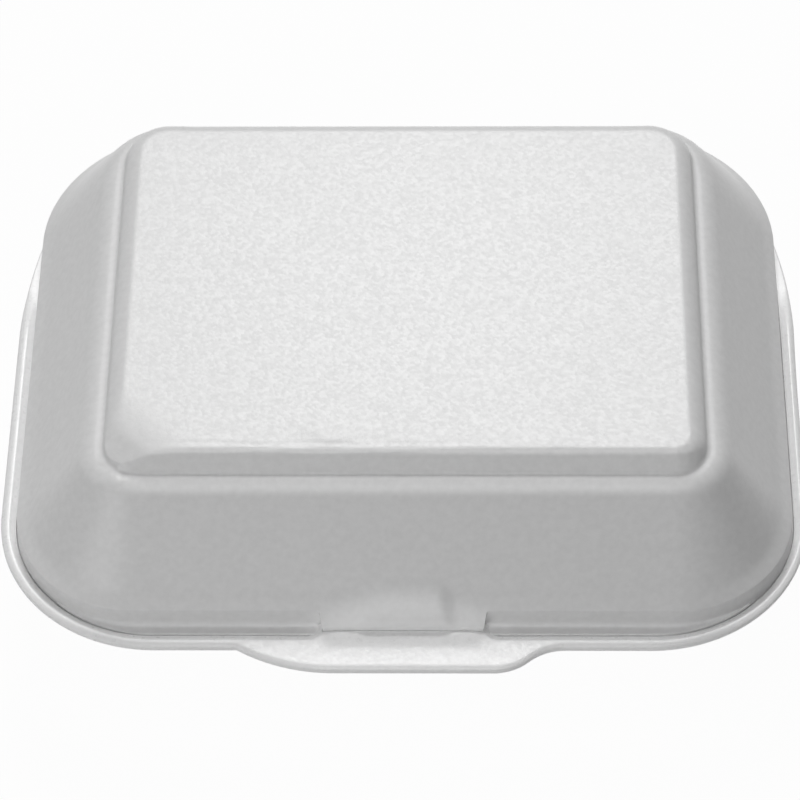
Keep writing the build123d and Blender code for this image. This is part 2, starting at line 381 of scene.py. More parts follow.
@dataclass(frozen=True)
class FoamSheet:
    """Sizes that the lid and the tray share.

    Attributes:
        sheet: thickness of the foam.
        seat: height of the tray's seat above the table.
        lip_width: lid width at its lip.
        lip_depth: lid depth at its lip.
        lip_front_radius: corner radius of the lip in front.
        lip_back_radius: corner radius of the lip at the back.
        bead_height: height of the rim's bead above the seat.
        bead_inner_front: distance from the origin to the bead's inner edge in front.
        bead_inner_half_width: the same at the sides.
        bead_inner_radius: corner radius of the bead's inner edge.
        hinge_reach: distance from the lip to the fold line.
        hinge_length: length of the hinge.
        fold_lift: height of the fold line's middle above the seat.
        fold_radius: radius of the round fold line.
        fold_clearance: running clearance round the fold line.
        tongue_half_width: half of the tongue's width at the lip.
        tongue_foot_half_width: the same where it enters the slot.
        tongue_face: distance from the origin to the tongue's face in the slot.
        slot_clearance: clearance round the tongue in its slot.
        least_radius: radius left inside a bend that is tighter than the sheet is thick.
        hinge_ends: how far beyond and before the hinge's end its strip fades.
    """

    sheet: float = 2.2
    seat: float = 43.6
    lip_width: float = 229.6
    lip_depth: float = 191.9
    lip_front_radius: float = 36.56
    lip_back_radius: float = 48.06
    bead_height: float = 2.4
    bead_inner_front: float = 100.7
    bead_inner_half_width: float = 115.8
    bead_inner_radius: float = 43.0
    hinge_reach: float = 5.05
    hinge_length: float = 132.0
    fold_lift: float = 0.1
    fold_radius: float = 0.9
    fold_clearance: float = 0.15
    tongue_half_width: float = 24.3
    tongue_foot_half_width: float = 23.1
    tongue_face: float = 99.7
    slot_clearance: float = 0.35
    least_radius: float = 0.3
    hinge_ends: tuple[float, float] = (0.3, -0.7)

    @property
    def hinge_y(self) -> float:
        """Distance from the origin to the fold line."""
        return self.lip_depth / 2 + self.hinge_reach

    @property
    def bead_level(self) -> float:
        """Height of the bead's crest."""
        return self.seat + self.bead_height

    def hinge_share(self, x: np.ndarray) -> np.ndarray:
        """Gives how far each place along X belongs to the hinge, from 0 to 1."""
        beyond, before = self.hinge_ends
        return smooth_step(np.abs(x), self.hinge_length / 2 + beyond, self.hinge_length / 2 + before)


def poly_curve(name: str, points: np.ndarray) -> bpy.types.Object:
    """Makes a closed poly curve, in metres, from points in millimetres.

    Args:
        name: the curve's name.
        points: two columns, which become X and Y.

    Returns:
        The curve's object.
    """
    data = bpy.data.curves.new(name, "CURVE")
    data.dimensions = "3D"
    spline = data.splines.new("POLY")
    spline.points.add(len(points) - 1)
    rows = np.column_stack((points * MM, np.zeros(len(points)), np.ones(len(points))))
    spline.points.foreach_set("co", rows.ravel())
    spline.use_cyclic_u = True
    curve = bpy.data.objects.new(name, data)
    bpy.context.scene.collection.objects.link(curve)
    return curve


class SheetSweep:
    """Geometry Nodes that carry a closed section of the sheet round a plan outline."""

    def __init__(self) -> None:
        """Builds the node tree once, for the lid and the tray."""
        self.tree = bpy.data.node_groups.new("sheet_sweep", "GeometryNodeTree")
        interface = self.tree.interface
        interface.new_socket("Geometry", in_out="INPUT", socket_type="NodeSocketGeometry")
        self.outline = interface.new_socket("Outline", in_out="INPUT", socket_type="NodeSocketObject")
        self.section = interface.new_socket("Section", in_out="INPUT", socket_type="NodeSocketObject")
        self.finish = interface.new_socket("Finish", in_out="INPUT", socket_type="NodeSocketMaterial")
        interface.new_socket("Geometry", in_out="OUTPUT", socket_type="NodeSocketGeometry")
        nodes = self.tree.nodes
        given = nodes.new("NodeGroupInput")
        outline_info = nodes.new("GeometryNodeObjectInfo")
        section_info = nodes.new("GeometryNodeObjectInfo")
        upright = add_node(nodes, "GeometryNodeSetCurveNormal", {"mode": "Z_UP"})
        swept = nodes.new("GeometryNodeCurveToMesh")
        realized = nodes.new("GeometryNodeRealizeInstances")
        dressed = nodes.new("GeometryNodeSetMaterial")
        result = nodes.new("NodeGroupOutput")
        for source, target in (
            (given.outputs["Outline"], outline_info.inputs["Object"]),
            (given.outputs["Section"], section_info.inputs["Object"]),
            (outline_info.outputs["Geometry"], upright.inputs["Curve"]),
            (upright.outputs["Curve"], swept.inputs["Curve"]),
            (section_info.outputs["Geometry"], swept.inputs["Profile Curve"]),
            (swept.outputs["Mesh"], realized.inputs["Geometry"]),
            (realized.outputs["Geometry"], dressed.inputs["Geometry"]),
            (given.outputs["Finish"], dressed.inputs["Material"]),
            (dressed.outputs["Geometry"], result.inputs["Geometry"]),
        ):
            self.tree.links.new(source, target)

    def sweep(
        self, name: str, places: np.ndarray, section: np.ndarray, finish: bpy.types.Material
    ) -> np.ndarray:
        """Sweeps a section and reads the swept points back.

        Args:
            name: name of the piece, for its helper curves.
            places: the outline's stations.
            section: the section's points, inset and height.
            finish: the piece's material.

        Returns:
            Points in millimetres, by station, by section point and by axis.
        """
        outline = poly_curve(name + "_outline", places)
        profile = poly_curve(name + "_section", -section)
        carrier = bpy.data.objects.new(name + "_sweep", bpy.data.meshes.new(name + "_sweep"))
        bpy.context.scene.collection.objects.link(carrier)
        modifier = carrier.modifiers.new("sheet_sweep", "NODES")
        modifier.node_group = self.tree
        modifier[self.outline.identifier] = outline
        modifier[self.section.identifier] = profile
        modifier[self.finish.identifier] = finish
        graph = bpy.context.evaluated_depsgraph_get()
        mesh = bpy.data.meshes.new_from_object(carrier.evaluated_get(graph))
        points = np.empty(len(mesh.vertices) * 3, np.float32)
        mesh.vertices.foreach_get("co", points)
        carrier.modifiers.remove(modifier)
        for helper in (carrier, outline, profile):
            bpy.data.objects.remove(helper)
        bpy.data.meshes.remove(mesh)
        return points.astype(float).reshape(len(places), len(section), 3) / MM


class SheetMesh:
    """Collects points and faces of one piece of formed sheet and writes them as a mesh.

    Attributes:
        merge_distance: points closer than this become one.
        sharp_degrees: bend between two faces from which their edge stays sharp.
    """

    merge_distance = 0.002
    sharp_degrees = 48.0

    def __init__(self) -> None:
        """Starts with no points and no faces."""
        self.points: list[np.ndarray] = []
        self.faces: list[tuple[int, ...]] = []
        self.count = 0

    def add(self, points: np.ndarray) -> np.ndarray:
        """Adds points.

        Args:
            points: any array whose last axis is X, Y, Z in millimetres.

        Returns:
            The points' numbers, in the shape of the array.
        """
        flat = points.reshape(-1, 3)
        self.points.append(flat)
        numbers = np.arange(self.count, self.count + len(flat)).reshape(points.shape[:-1])
        self.count += len(flat)
        return numbers

    def skin(self, numbers: np.ndarray, keep: np.ndarray) -> None:
        """Lays faces over a grid that closes on itself both ways.

        Args:
            numbers: point numbers by station and section point.
            keep: which faces to lay, by the station and section point that they start at.
        """
        ahead = np.roll(numbers, -1, axis=0)
        beside = np.roll(numbers, -1, axis=1)
        both = np.roll(ahead, -1, axis=1)
        quads = np.stack((numbers, ahead, both, beside), axis=-1)[keep]
        self.faces.extend(map(tuple, quads.tolist()))

    def strip(self, first: np.ndarray, second: np.ndarray) -> None:
        """Lays a row of faces between two closed lines of points.

        Args:
            first: point numbers of one line.
            second: point numbers of the other, as many.
        """
        for index in range(len(first)):
            after = (index + 1) % len(first)
            corners = (first[index], first[after], second[after], second[index])
            self.faces.append(tuple(map(int, corners)))

    def cap(
        self, rim: np.ndarray, loop: np.ndarray, shares: Sequence[float], shape: Callable, up: bool
    ) -> None:
        """Closes a loop with rings that shrink towards its middle line.

        Args:
            rim: point numbers of the loop.
            loop: the loop's points.
            shares: how far each ring has shrunk, rising from above 0 to below 1.
            shape: function that gives heights for ring points.
            up: whether the cap faces up.
        """
        half = np.abs(loop[:, :2]).max(axis=0)
        along = np.clip(loop[:, 0], half[1] - half[0], half[0] - half[1])
        spine = np.column_stack((along, np.zeros(len(loop))))
        before = rim
        for share in shares:
            ring = loop.copy()
            ring[:, :2] = loop[:, :2] + (spine - loop[:, :2]) * share
            ring[:, 2] = shape(ring)
            numbers = self.add(ring)
            if up:
                self.strip(before, numbers)
            else:
                self.strip(numbers, before)
            before = numbers
        last = before if up else before[::-1]
        self.faces.append(tuple(map(int, last)))

    def object(self, name: str, finish: bpy.types.Material) -> bpy.types.Object:
        """Writes the mesh, smooth but for its sharp folds.

        Args:
            name: the piece's name.
            finish: the piece's material.

        Returns:
            The piece, at the origin, linked to the scene.
        """
        mesh = bpy.data.meshes.new(name)
        mesh.from_pydata(np.vstack(self.points) * MM, [], self.faces)
        shaping = bmesh.new()
        shaping.from_mesh(mesh)
        bmesh.ops.remove_doubles(shaping, verts=shaping.verts, dist=self.merge_distance * MM)
        bmesh.ops.triangulate(shaping, faces=[face for face in shaping.faces if len(face.verts) > 4])
        bmesh.ops.recalc_face_normals(shaping, faces=shaping.faces)
        shaping.to_mesh(mesh)
        shaping.free()
        mesh.materials.append(finish)
        mesh.shade_smooth()
        mesh.set_sharp_from_angle(angle=math.radians(self.sharp_degrees))
        piece = bpy.data.objects.new(name, mesh)
        bpy.context.scene.collection.objects.link(piece)
        return piece


@dataclass(frozen=True)
class StepShape:
    """Shape of the ledge and the step on one side of the lid.

    Attributes:
        inset: distance from the lip in to the step.
        ledge_width: width of the ledge.
        ledge_radius: radius of its outer edge.
        run: how far the step comes in on its way up.
        edge_radius: radius of the panel's edge.
    """

    inset: float
    ledge_width: float
    ledge_radius: float
    run: float
    edge_radius: float


@dataclass(frozen=True)
class Crease:
    """A fine crease along the panel's front edge.

    Attributes:
        place: distance from the end of the section, over the sheet.
        start: its left end.
        stop: its right end.
        depth: how deep it is pressed, negative for a ridge.
        width: half of its width.
    """

    place: float
    start: float
    stop: float
    depth: float
    width: float


@dataclass(frozen=True)
class Crumple:
    """A spot of crumpled foam.

    Attributes:
        centre: its middle.
        size: how far it spreads.
        strength: how rough it is.
    """

    centre: Place
    size: float
    strength: float


@dataclass(frozen=True)
class Facet:
    """A plane that the panel's front left corner is pressed down to.

    Attributes:
        foot: a point on the plane.
        slope: its rise along X and along Y.
    """

    foot: Place
    slope: float


@dataclass
class Lid:
    """The lid: skirt, lip, drafted wall, ledge, stepped panel, tongue, boss and half of the hinge.

    Attributes:
        foam: sizes shared with the tray.
        seat_gap: gap under the lid's foot.
        skirt_height: height of the lip above the tray's seat.
        skirt_draft: how far the skirt spreads over that height.
        flare_run: width of the flare above the lip, and so on up the section.
        front: ledge and step in front; side and back are the same elsewhere.
        panel_inset: distance from the lip in to the end of the section.
        back_corner_tighter: how much tighter the panel's back corners are than the lip's.
        panel_shift: how far the panel stands to the right.
        back_pull: how far its back edge is drawn in, over the run back_pull_run.
        wall_sharp_share: how much of the tighter corner the wall takes part in.
        step_sharp_rise: height above the ledge where the step takes up the rest.
        foot_flange: thickness of the narrow flange at the foot, in front.
        foot_fillet: fillet between that flange and the skirt.
        foot_edge_radius: radius of that flange's upper edge.
        foot_gap: half of the gap that the flange leaves for the latch.
        foot_gap_ends: how far before and beyond that gap's end the flange fades.
        toe_round_share: most of a narrow flange's width that a rounded edge takes up.
        toe_fillet_share: the same for its fillet.
        lip_gaps: how far below the lip the foot's line ends, outside and inside.
        strip_fillet: fillet between the hinge strip and the skirt.
        tongue_tip: height of the tongue's tip.
        tongue_tip_half_width: half of the tongue's width there.
        tongue_slope: degrees that the tongue slopes between the lip and its bend.
        slit: gap between the tongue and the skirt beside it.
        slit_ease: length of skirt that follows the tongue's taper.
        facets: planes of the crushed corner.
        facet_softness: height over which they blend in.
        facet_foot_fade: the same above the ledge.
        creases: creases along the panel's front edge.
        crease_fade: length over which a crease runs out.
        crease_wander: how far it strays.
        crease_noise: scale and seed of the noise that it strays by.
        crumples: spots of crumpled foam.
        crumple_scale: scale of the noise in them.
        crumple_least: share of a spot's strength below which it is left out.
        dent_depth: depth of the small dents along the panel's front edge.
        dent_reach: how far in they go.
        dent_ends: where they fade at the sides.
        dent_drops: how far below the panel they start and where they are full.
        dent_noise: scales along X and Y and seed of the noise that places them.
        dent_levels: values of that noise where a dent starts and where it is full.
        boss_height: how far the boss stands out.
        boss_way: how much of that is forwards and how much upwards.
        boss_flanks: width of its left flank and of its right one.
        boss_outside: how far both flanks start outside it.
        boss_fade_top: where it fades above its top, and where above the lip it is full.
        boss_fade_foot: where it starts and where it is full, from the tongue's bend.
        turn_weight: length that a radian of bend counts for in the spacing of points.
    """

    foam: FoamSheet
    seat_gap: float = 0.2
    nest_clearance: float = 0.4
    skirt_height: float = 7.3
    skirt_draft: float = 0.6
    flare_run: float = 3.5
    flare_rise: float = 3.0
    wall_run: float = 18.0
    wall_rise: float = 26.9
    front: StepShape = StepShape(27.0, 5.5, 7.0, 2.6, 3.5)
    side: StepShape = StepShape(27.2, 5.5, 7.0, 1.2, 5.6)
    back: StepShape = StepShape(27.2, 1.5, 3.0, 3.0, 5.6)
    panel_inset: float = 33.7
    ledge_rise: float = 0.5
    step_rise: float = 6.1
    lip_radius: float = 0.45
    foot_radius: float = 0.4
    flare_radius: float = 14.0
    step_foot_radius: float = 1.6
    back_corner_tighter: float = 7.0
    panel_shift: float = 0.5
    back_pull: float = 1.6
    back_pull_run: tuple[float, float] = (10.0, 62.0)
    wall_sharp_share: float = 0.8
    step_sharp_rise: float = 1.0
    foot_flange: float = 1.3
    foot_fillet: float = 1.5
    foot_edge_radius: float = 0.5
    foot_gap: float = 25.65
    foot_gap_ends: tuple[float, float] = (-0.1, 0.5)
    toe_round_share: float = 0.4
    toe_fillet_share: float = 0.5
    lip_gaps: tuple[float, float] = (0.5, 1.6)
    strip_fillet: float = 0.8
    tongue_tip: float = 36.4
    tongue_tip_half_width: float = 19.5
    tongue_bend_radius: float = 1.0
    tongue_slope: float = 40.0
    tongue_blend_radius: float = 3.0
    slit: float = 0.35
    slit_ease: float = 7.0
    facets: tuple[Facet, ...] = (
        Facet((-84.0, -67.0, 85.8), 0.075),
        Facet((-84.0, -69.0, 81.8), 0.38),
    )
    facet_softness: float = 0.5
    facet_foot_fade: float = 0.8
    creases: tuple[Crease, ...] = (
        Crease(0.7, -74.0, 25.0, 0.08, 0.6),
        Crease(2.2, -60.0, 30.0, 0.06, 0.6),
        Crease(3.6, -76.0, 12.0, -0.12, 0.5),
    )
    crease_fade: float = 12.0
    crease_wander: float = 0.8
    crease_noise: tuple[float, float] = (0.07, 0.4)
    crumples: tuple[Crumple, ...] = (
        Crumple((-83.5, -69.5, 81.0), 7.0, 0.28),
        Crumple((-80.0, -63.0, 85.5), 6.0, 0.2),
        Crumple((80.5, -62.0, 86.0), 7.0, 0.16),
    )
    crumple_scale: float = 0.55
    crumple_least: float = 0.05
    dent_depth: float = 0.16
    dent_reach: float = 6.0
    dent_ends: tuple[float, float] = (78.0, 70.0)
    dent_drops: tuple[float, float] = (2.5, 0.2)
    dent_noise: tuple[float, float, float] = (0.11, 0.13, 8.7)
    dent_levels: tuple[float, float] = (0.15, 0.6)
    boss_height: float = 1.7
    boss_way: tuple[float, float] = (0.64, 0.77)
    boss_flanks: tuple[float, float] = (5.0, 2.6)
    boss_outside: float = 1.0
    boss_fade_top: tuple[float, float] = (0.5, 0.6)
    boss_fade_foot: tuple[float, float] = (-0.4, 1.8)
    boss_top_left: float = 9.8
    boss_top_right: float = 12.2
    boss_foot_left: float = 17.0
    boss_foot_right: float = 15.3
    boss_rise: float = 3.9
    join_inset: float = 1.2
    inner_join_share: float = 0.3
    turn_weight: float = 3.0
    foot_points: int = 24
    lip_points: int = 8
    wall_points: int = 34
    step_points: int = 30
    inner_points: int = 26
    inner_foot_points: int = 9
    inner_lip_points: int = 4
    ring_depths: tuple[float, ...] = (
        *(0.6, 1.3, 2.2, 3.4, 5.0, 7.0, 10.0),
        *(14.0, 19.0, 25.0, 32.0, 40.0, 48.0, 55.0),
    )
    inner_ring_depths: tuple[float, ...] = (3.0, 8.0, 16.0, 28.0, 44.0)
    stations: np.ndarray = field(init=False, repr=False)
    outs: np.ndarray = field(init=False, repr=False)

    def __post_init__(self) -> None:
        """Works out the levels, the section's corners and the stations."""
        foam = self.foam
        self.half_width = foam.lip_width / 2
        self.half_depth = foam.lip_depth / 2
        self.foot = foam.seat + self.seat_gap
        self.lip = foam.seat + self.skirt_height
        self.flare_level = self.lip + self.flare_rise
        self.ledge_level = self.flare_level + self.wall_rise
        self.panel_level = self.ledge_level + self.ledge_rise + self.step_rise
        self.lean = foam.tongue_face - self.half_depth
        self.bend_level = self.lip - self.lean * math.tan(math.radians(self.tongue_slope))
        self.spread = self.skirt_draft * (self.lip - self.foot) / self.skirt_height
        self.outer_corners = self.corners(self.side)
        self.inner_corners = offset_corners(self.outer_corners, foam.sheet, foam.least_radius)
        self.join = (self.join_inset, self.lip + self.join_inset * self.flare_rise / self.flare_run, 0.0)
        lip, flare = np.array(self.inner_corners[1][:2]), np.array(self.inner_corners[2][:2])
        self.inner_join = (*(lip + self.inner_join_share * (flare - lip)), 0.0)
        tongue_edge = foam.tongue_half_width
        gap_ends = tuple(self.foot_gap + end for end in self.foot_gap_ends)
        marks = (tongue_edge, tongue_edge + self.slit, *gap_ends)
        plan = StationPlan(
            front_features=tuple(sorted(marks + tuple(-mark for mark in marks))),
            back_features=(-foam.hinge_length / 2, foam.hinge_length / 2),
        )
        outline = PlanOutline(
            self.half_width,
            self.half_depth,
            foam.lip_front_radius,
            foam.lip_back_radius,
        )
        self.stations, self.outs = outline.stations(plan)

    def corners(self, shape: StepShape) -> list[Corner]:
        """Gives the outer corners of the section, from the foot to the panel.

        Args:
            shape: shape of the ledge and the step.

        Returns:
            Inset, height and radius of each corner.
        """
        return [
            (-self.spread, self.foot, 0.0),
            (0.0, self.lip, self.lip_radius),
            (self.flare_run, self.flare_level, self.flare_radius),
            (shape.inset - shape.ledge_width, self.ledge_level, shape.ledge_radius),
            (shape.inset, self.ledge_level + self.ledge_rise, self.step_foot_radius),
            (shape.inset + shape.run, self.panel_level, shape.edge_radius),
            (self.panel_inset, self.panel_level, 0.0),
        ]

    def skirt_across(self, height: float) -> float:
        """Gives the skirt's inset at a height, negative below the lip."""
        return -self.skirt_draft * (self.lip - height) / self.skirt_height

    def foot_line(self, kind: FootKind, face: Face, toe: float = 0.0) -> np.ndarray:
        """Draws the sheet from the middle of its foot to the join on the flare.

        Args:
            kind: what the sheet does below the lip.
            face: the face to draw.
            toe: width of the flange at the foot, for a skirt.

        Returns:
            Evenly counted points, inset and height.
        """
        foam = self.foam
        tongue = [
            (-self.lean, self.tongue_tip, self.foot_radius),
            (-self.lean, self.bend_level, self.tongue_bend_radius),
            (0.0, self.lip, self.tongue_blend_radius),
            self.join,
        ]
        if kind is FootKind.TONGUE:
            start = (-self.lean + foam.sheet / 2, self.tongue_tip, 0.0)
            if face is Face.OUTER:
                return self.foot_samples([start, *tongue], face)
            inner = offset_corners(tongue, foam.sheet, self.foot_radius)
            tip = (inner[0][0], self.tongue_tip, self.foot_radius)
            return self.foot_samples([start, tip, *inner[1:3], self.inner_join], face)
        middle = (foam.sheet / 2 - self.spread, self.foot, 0.0)
        if face is Face.INNER:
            tip = (self.inner_corners[0][0], self.foot, self.foot_radius)
            return self.foot_samples([middle, tip, self.inner_corners[1], self.inner_join], face)
        corners = [middle]
        if kind is FootKind.HINGE:
            corners += self.hinge_corners()
        elif toe < self.slit:
            corners.append((-self.spread - toe, self.foot, self.foot_radius))
        else:
            top = self.foot + self.foot_flange
            most = self.toe_round_share * toe
            corners.append((-self.spread - toe, self.foot, min(self.foot_radius, most)))
            corners.append((-self.spread - toe, top, min(self.foot_edge_radius, most)))
            fillet = min(self.foot_fillet, self.toe_fillet_share * toe)
            corners.append((self.skirt_across(top), top, fillet))
        corners += [self.outer_corners[1], self.join]
        return self.foot_samples(corners, face)

    def foot_samples(self, corners: Sequence[Corner], face: Face) -> np.ndarray:
        """Samples a line of the foot, always with the same number of points below the lip and above it.

        Args:
            corners: the line's corners, from the foot to the join.
            face: the face that the line lies on.

        Returns:
            The samples.
        """
        outer = face is Face.OUTER
        height = self.lip - self.lip_gaps[0 if outer else 1]
        below, above = cut_line(filleted_line(corners), 1, height)
        foot = spaced(below, self.foot_points if outer else self.inner_foot_points, self.turn_weight)
        lip = spaced(above, self.lip_points if outer else self.inner_lip_points, self.turn_weight)
        return np.vstack((foot, lip[1:]))

    def hinge_corners(self) -> list[Corner]:
        """Gives the corners of the hinge strip: underside, cove on the fold line, bevel and top.

        Returns:
            Inset, height and radius of each corner.
        """
        foam = self.foam
        cove = foam.fold_radius + foam.fold_clearance
        rise = self.seat_gap / 2
        meet = (math.sqrt(2 * cove**2 - rise**2) - rise) / 2
        angles = np.linspace(math.asin(rise / cove), math.atan2(meet + rise, meet), 5)
        corners = [
            (-foam.hinge_reach + cove * math.cos(angle), self.foot - rise + cove * math.sin(angle), 0.0)
            for angle in angles
        ]
        top = self.foot + foam.sheet
        corners.append((-foam.hinge_reach + foam.sheet, top, foam.least_radius))
        corners.append((self.skirt_across(top), top, self.strip_fillet))
        return corners

    def section(self, shape: StepShape) -> np.ndarray:
        """Draws the plain section, a closed loop: the outer face from foot to panel, then back inside.

        Args:
            shape: shape of the ledge and the step.

        Returns:
            The loop's points, inset and height, always the same number.
        """
        corners = self.corners(shape)
        outer = filleted_line([self.join, *corners[2:]])
        wall, step = cut_line(outer, 0, (corners[3][0] + corners[4][0]) / 2)
        inner = offset_corners(corners, self.foam.sheet, self.foam.least_radius)
        inside = filleted_line([self.inner_join, *inner[2:]])
        return np.vstack(
            (
                self.foot_line(FootKind.SKIRT, Face.OUTER),
                spaced(wall, self.wall_points, self.turn_weight)[1:],
                spaced(step, self.step_points, self.turn_weight)[1:],
                spaced(inside, self.inner_points, self.turn_weight)[::-1],
                self.foot_line(FootKind.SKIRT, Face.INNER)[-2:0:-1],
            )
        )

    def form_step(self, points: np.ndarray, section: np.ndarray) -> None:
        """Gives the ledge and the step their own shapes in front and at the back.

        Args:
            points: the swept points, which are changed in place.
            section: the section that was swept, of a side.
        """
        turned = np.arctan2(self.outs[:, 1], np.abs(self.outs[:, 0])) / (math.pi / 2)
        change = np.zeros(points.shape[:2])
        rise = np.zeros(points.shape[:2])
        for shape, way in ((self.back, 1.0), (self.front, -1.0)):
            share = np.clip(way * turned, 0.0, 1.0)[:, None]
            move = self.section(shape) - section
            change += share * move[:, 0]
            rise += share * move[:, 1]
        points[..., :2] -= change[..., None] * self.outs[:, None]
        points[..., 2] += rise
        height = points[..., 2]
        wall = np.clip((height - self.flare_level) / self.wall_rise, 0.0, 1.0)
        step_foot = self.ledge_level + self.ledge_rise
        step = smooth_step(height, self.ledge_level, step_foot + self.step_sharp_rise)
        weight = self.wall_sharp_share * wall + (1.0 - self.wall_sharp_share) * step
        angle = np.clip(turned, 0.0, 1.0)[:, None] * math.pi / 2
        reach = self.corner_reach(angle, section[:, 0] + change)
        points[..., :2] += (weight * reach)[..., None] * self.outs[:, None]
        points[..., 0] += self.panel_shift * wall
        points[..., 1] -= self.back_pull * wall * smooth_step(points[..., 1], *self.back_pull_run)

    def corner_reach(self, angle: np.ndarray, inset: np.ndarray) -> np.ndarray:
        """Gives how far the panel's tighter back corner stands out from the round one.

        Args:
            angle: how far round the corner, from 0 at the side to a quarter turn at the back.
            inset: distance from the lip in to each point.

        Returns:
            The distance outwards.
        """
        tighter = self.back_corner_tighter
        outer = self.foam.lip_back_radius - inset
        both = tighter * (np.cos(angle) + np.sin(angle))
        round_part = both + np.sqrt(np.maximum(both**2 - 2 * tighter**2 + (outer - tighter) ** 2, 0.0))
        straight = outer / np.maximum(np.cos(angle), np.sin(angle))
        aside = straight * np.minimum(np.cos(angle), np.sin(angle))
        return np.where(aside < tighter, straight, round_part) - outer

    def tongue_half_width(self, height: np.ndarray) -> np.ndarray:
        """Gives half of the tongue's width at each height.

        Args:
            height: the heights.

        Returns:
            Half of the width at each.
        """
        foam = self.foam
        levels = (self.tongue_tip, foam.bead_level, self.lip)
        widths = (self.tongue_tip_half_width, foam.tongue_foot_half_width, foam.tongue_half_width)
        return np.interp(height, levels, widths)

    def form_foot(self, points: np.ndarray) -> np.ndarray:
        """Forms the foot at each station: flange, tongue or hinge strip.

        Args:
            points: the swept points, which are changed in place.

        Returns:
            For each station, whether it lies in the tongue.
        """
        foam = self.foam
        x, y = self.stations.T
        in_front = y < -self.half_depth + MM
        in_tongue = in_front & (np.abs(x) < foam.tongue_half_width + self.slit / 2)
        radius = foam.bead_inner_radius - self.nest_clearance
        flange = PlanOutline(
            self.half_width + self.skirt_draft - self.nest_clearance,
            foam.bead_inner_front - self.nest_clearance,
            radius,
            radius,
        )
        toes = reach_to(lambda spots: outline_distance(flange, spots), self.stations, self.outs)
        toes = np.clip(toes - self.spread, 0.0, None) * (y < 0.0)
        start, stop = (self.foot_gap + end for end in self.foot_gap_ends)
        toes *= np.where(in_front, smooth_step(np.abs(x), start, stop), 1.0)
        hinged = np.where(y > self.half_depth - MM, foam.hinge_share(x), 0.0)
        edge = foam.tongue_half_width
        eased = smooth_step(np.abs(x), edge + self.slit_ease, edge) * np.sign(x)
        strip = self.foot_line(FootKind.HINGE, Face.OUTER)
        outside = slice(0, self.foot_points + self.lip_points - 1)
        inside = slice(3 - self.inner_foot_points - self.inner_lip_points, None)
        for number, place in enumerate(self.stations):
            kind = FootKind.TONGUE if in_tongue[number] else FootKind.SKIRT
            outer = self.foot_line(kind, Face.OUTER, float(toes[number]))
            outer = outer + hinged[number] * (strip - outer)
            inner = self.foot_line(kind, Face.INNER)[-2:0:-1]
            for span, line in ((outside, outer), (inside, inner)):
                points[number, span, :2] = place - line[:, :1] * self.outs[number]
                points[number, span, 2] = line[:, 1]
                if in_tongue[number]:
                    points[number, span, 0] *= self.tongue_half_width(line[:, 1]) / edge
                elif in_front[number]:
                    lost = edge - self.tongue_half_width(line[:, 1])
                    points[number, span, 0] -= eased[number] * lost
        return in_tongue

    def form_boss(self, points: np.ndarray) -> None:
        """Presses the boss out of the flare and the tongue, with a softer flank on its left.

        Args:
            points: the formed points, which are changed in place.
        """
        foam = self.foam
        x, y, z = points[..., 0], points[..., 1], points[..., 2]
        top = self.flare_level + self.boss_rise
        levels = (foam.bead_level, top)
        left = -np.interp(z, levels, (self.boss_foot_left, self.boss_top_left))
        right = np.interp(z, levels, (self.boss_foot_right, self.boss_top_right))
        outside = -self.boss_outside
        left_flank, right_flank = self.boss_flanks
        across = smooth_step(x - left, outside, left_flank) * smooth_step(right - x, outside, right_flank)
        above_top, above_lip = self.boss_fade_top
        upright = smooth_step(z, top + above_top, self.lip + above_lip)
        upright *= smooth_step(z, *(self.bend_level + rise for rise in self.boss_fade_foot))
        press = self.boss_height * across * upright * (y < -self.half_depth + self.wall_run)
        forwards, upwards = self.boss_way
        points[..., 1] -= forwards * press
        points[..., 2] += upwards * press

    def relief(self, points: np.ndarray) -> np.ndarray:
        """Gives how far the panel's skin stands above its flat: small dents along its front edge.

        Args:
            points: points on the lid's outer face near the panel.

        Returns:
            A height for each point.
        """
        flat = points.reshape(-1, 3)
        along, across, seed = self.dent_noise
        dents = np.array([noise.noise(Vector((p[0] * along, p[1] * across, seed))) for p in flat])
        near_front = smooth_step(flat[:, 1] + self.half_depth - self.panel_inset, self.dent_reach, 0.0)
        near_front *= smooth_step(np.abs(flat[:, 0]), *self.dent_ends)
        heights = -self.dent_depth * near_front * smooth_step(dents, *self.dent_levels)
        return heights.reshape(points.shape[:-1])

    def wear(self, points: np.ndarray, outer_stop: int) -> None:
        """Marks the lid as the real one is: dents, creases, crumpled foam and a crushed corner.

        Args:
            points: the formed points, which are changed in place.
            outer_stop: how many section points lie on the outer face.
        """
        outer = points[:, :outer_stop]
        along = np.roll(outer, -1, axis=0) - np.roll(outer, 1, axis=0)
        up = np.gradient(outer, axis=1)
        normals = np.cross(along, up)
        normals /= np.maximum(np.linalg.norm(normals, axis=2, keepdims=True), 1e-9)
        if normals[0, -1, 2] < 0.0:
            normals = -normals
        near_panel = smooth_step(outer[..., 2], *(self.panel_level - drop for drop in self.dent_drops))
        outer[..., 2] += near_panel * self.relief(outer) * (near_panel > 0.0)
        steps = np.linalg.norm(np.diff(outer, axis=1), axis=2)
        depth = np.zeros(outer.shape[:2])
        depth[:, :-1] = np.cumsum(steps[:, ::-1], axis=1)[:, ::-1]
        x = outer[..., 0]
        front = (self.stations[:, 1] < -self.half_depth + MM)[:, None]
        push = np.zeros_like(depth)
        fade = self.crease_fade
        scale, seed = self.crease_noise
        for crease in self.creases:
            wander = np.array([noise.noise(Vector((v * scale, crease.place, seed))) for v in x[:, -1]])
            window = smooth_step(x, crease.start, crease.start + fade)
            window *= smooth_step(x, crease.stop, crease.stop - fade) * front
            away = depth - crease.place - self.crease_wander * wander[:, None]
            push -= crease.depth * window * bell(away, crease.width)
        for crumple in self.crumples:
            near = bell(np.linalg.norm(outer - np.array(crumple.centre), axis=2), crumple.size)
            for row, column in np.argwhere(near > self.crumple_least):
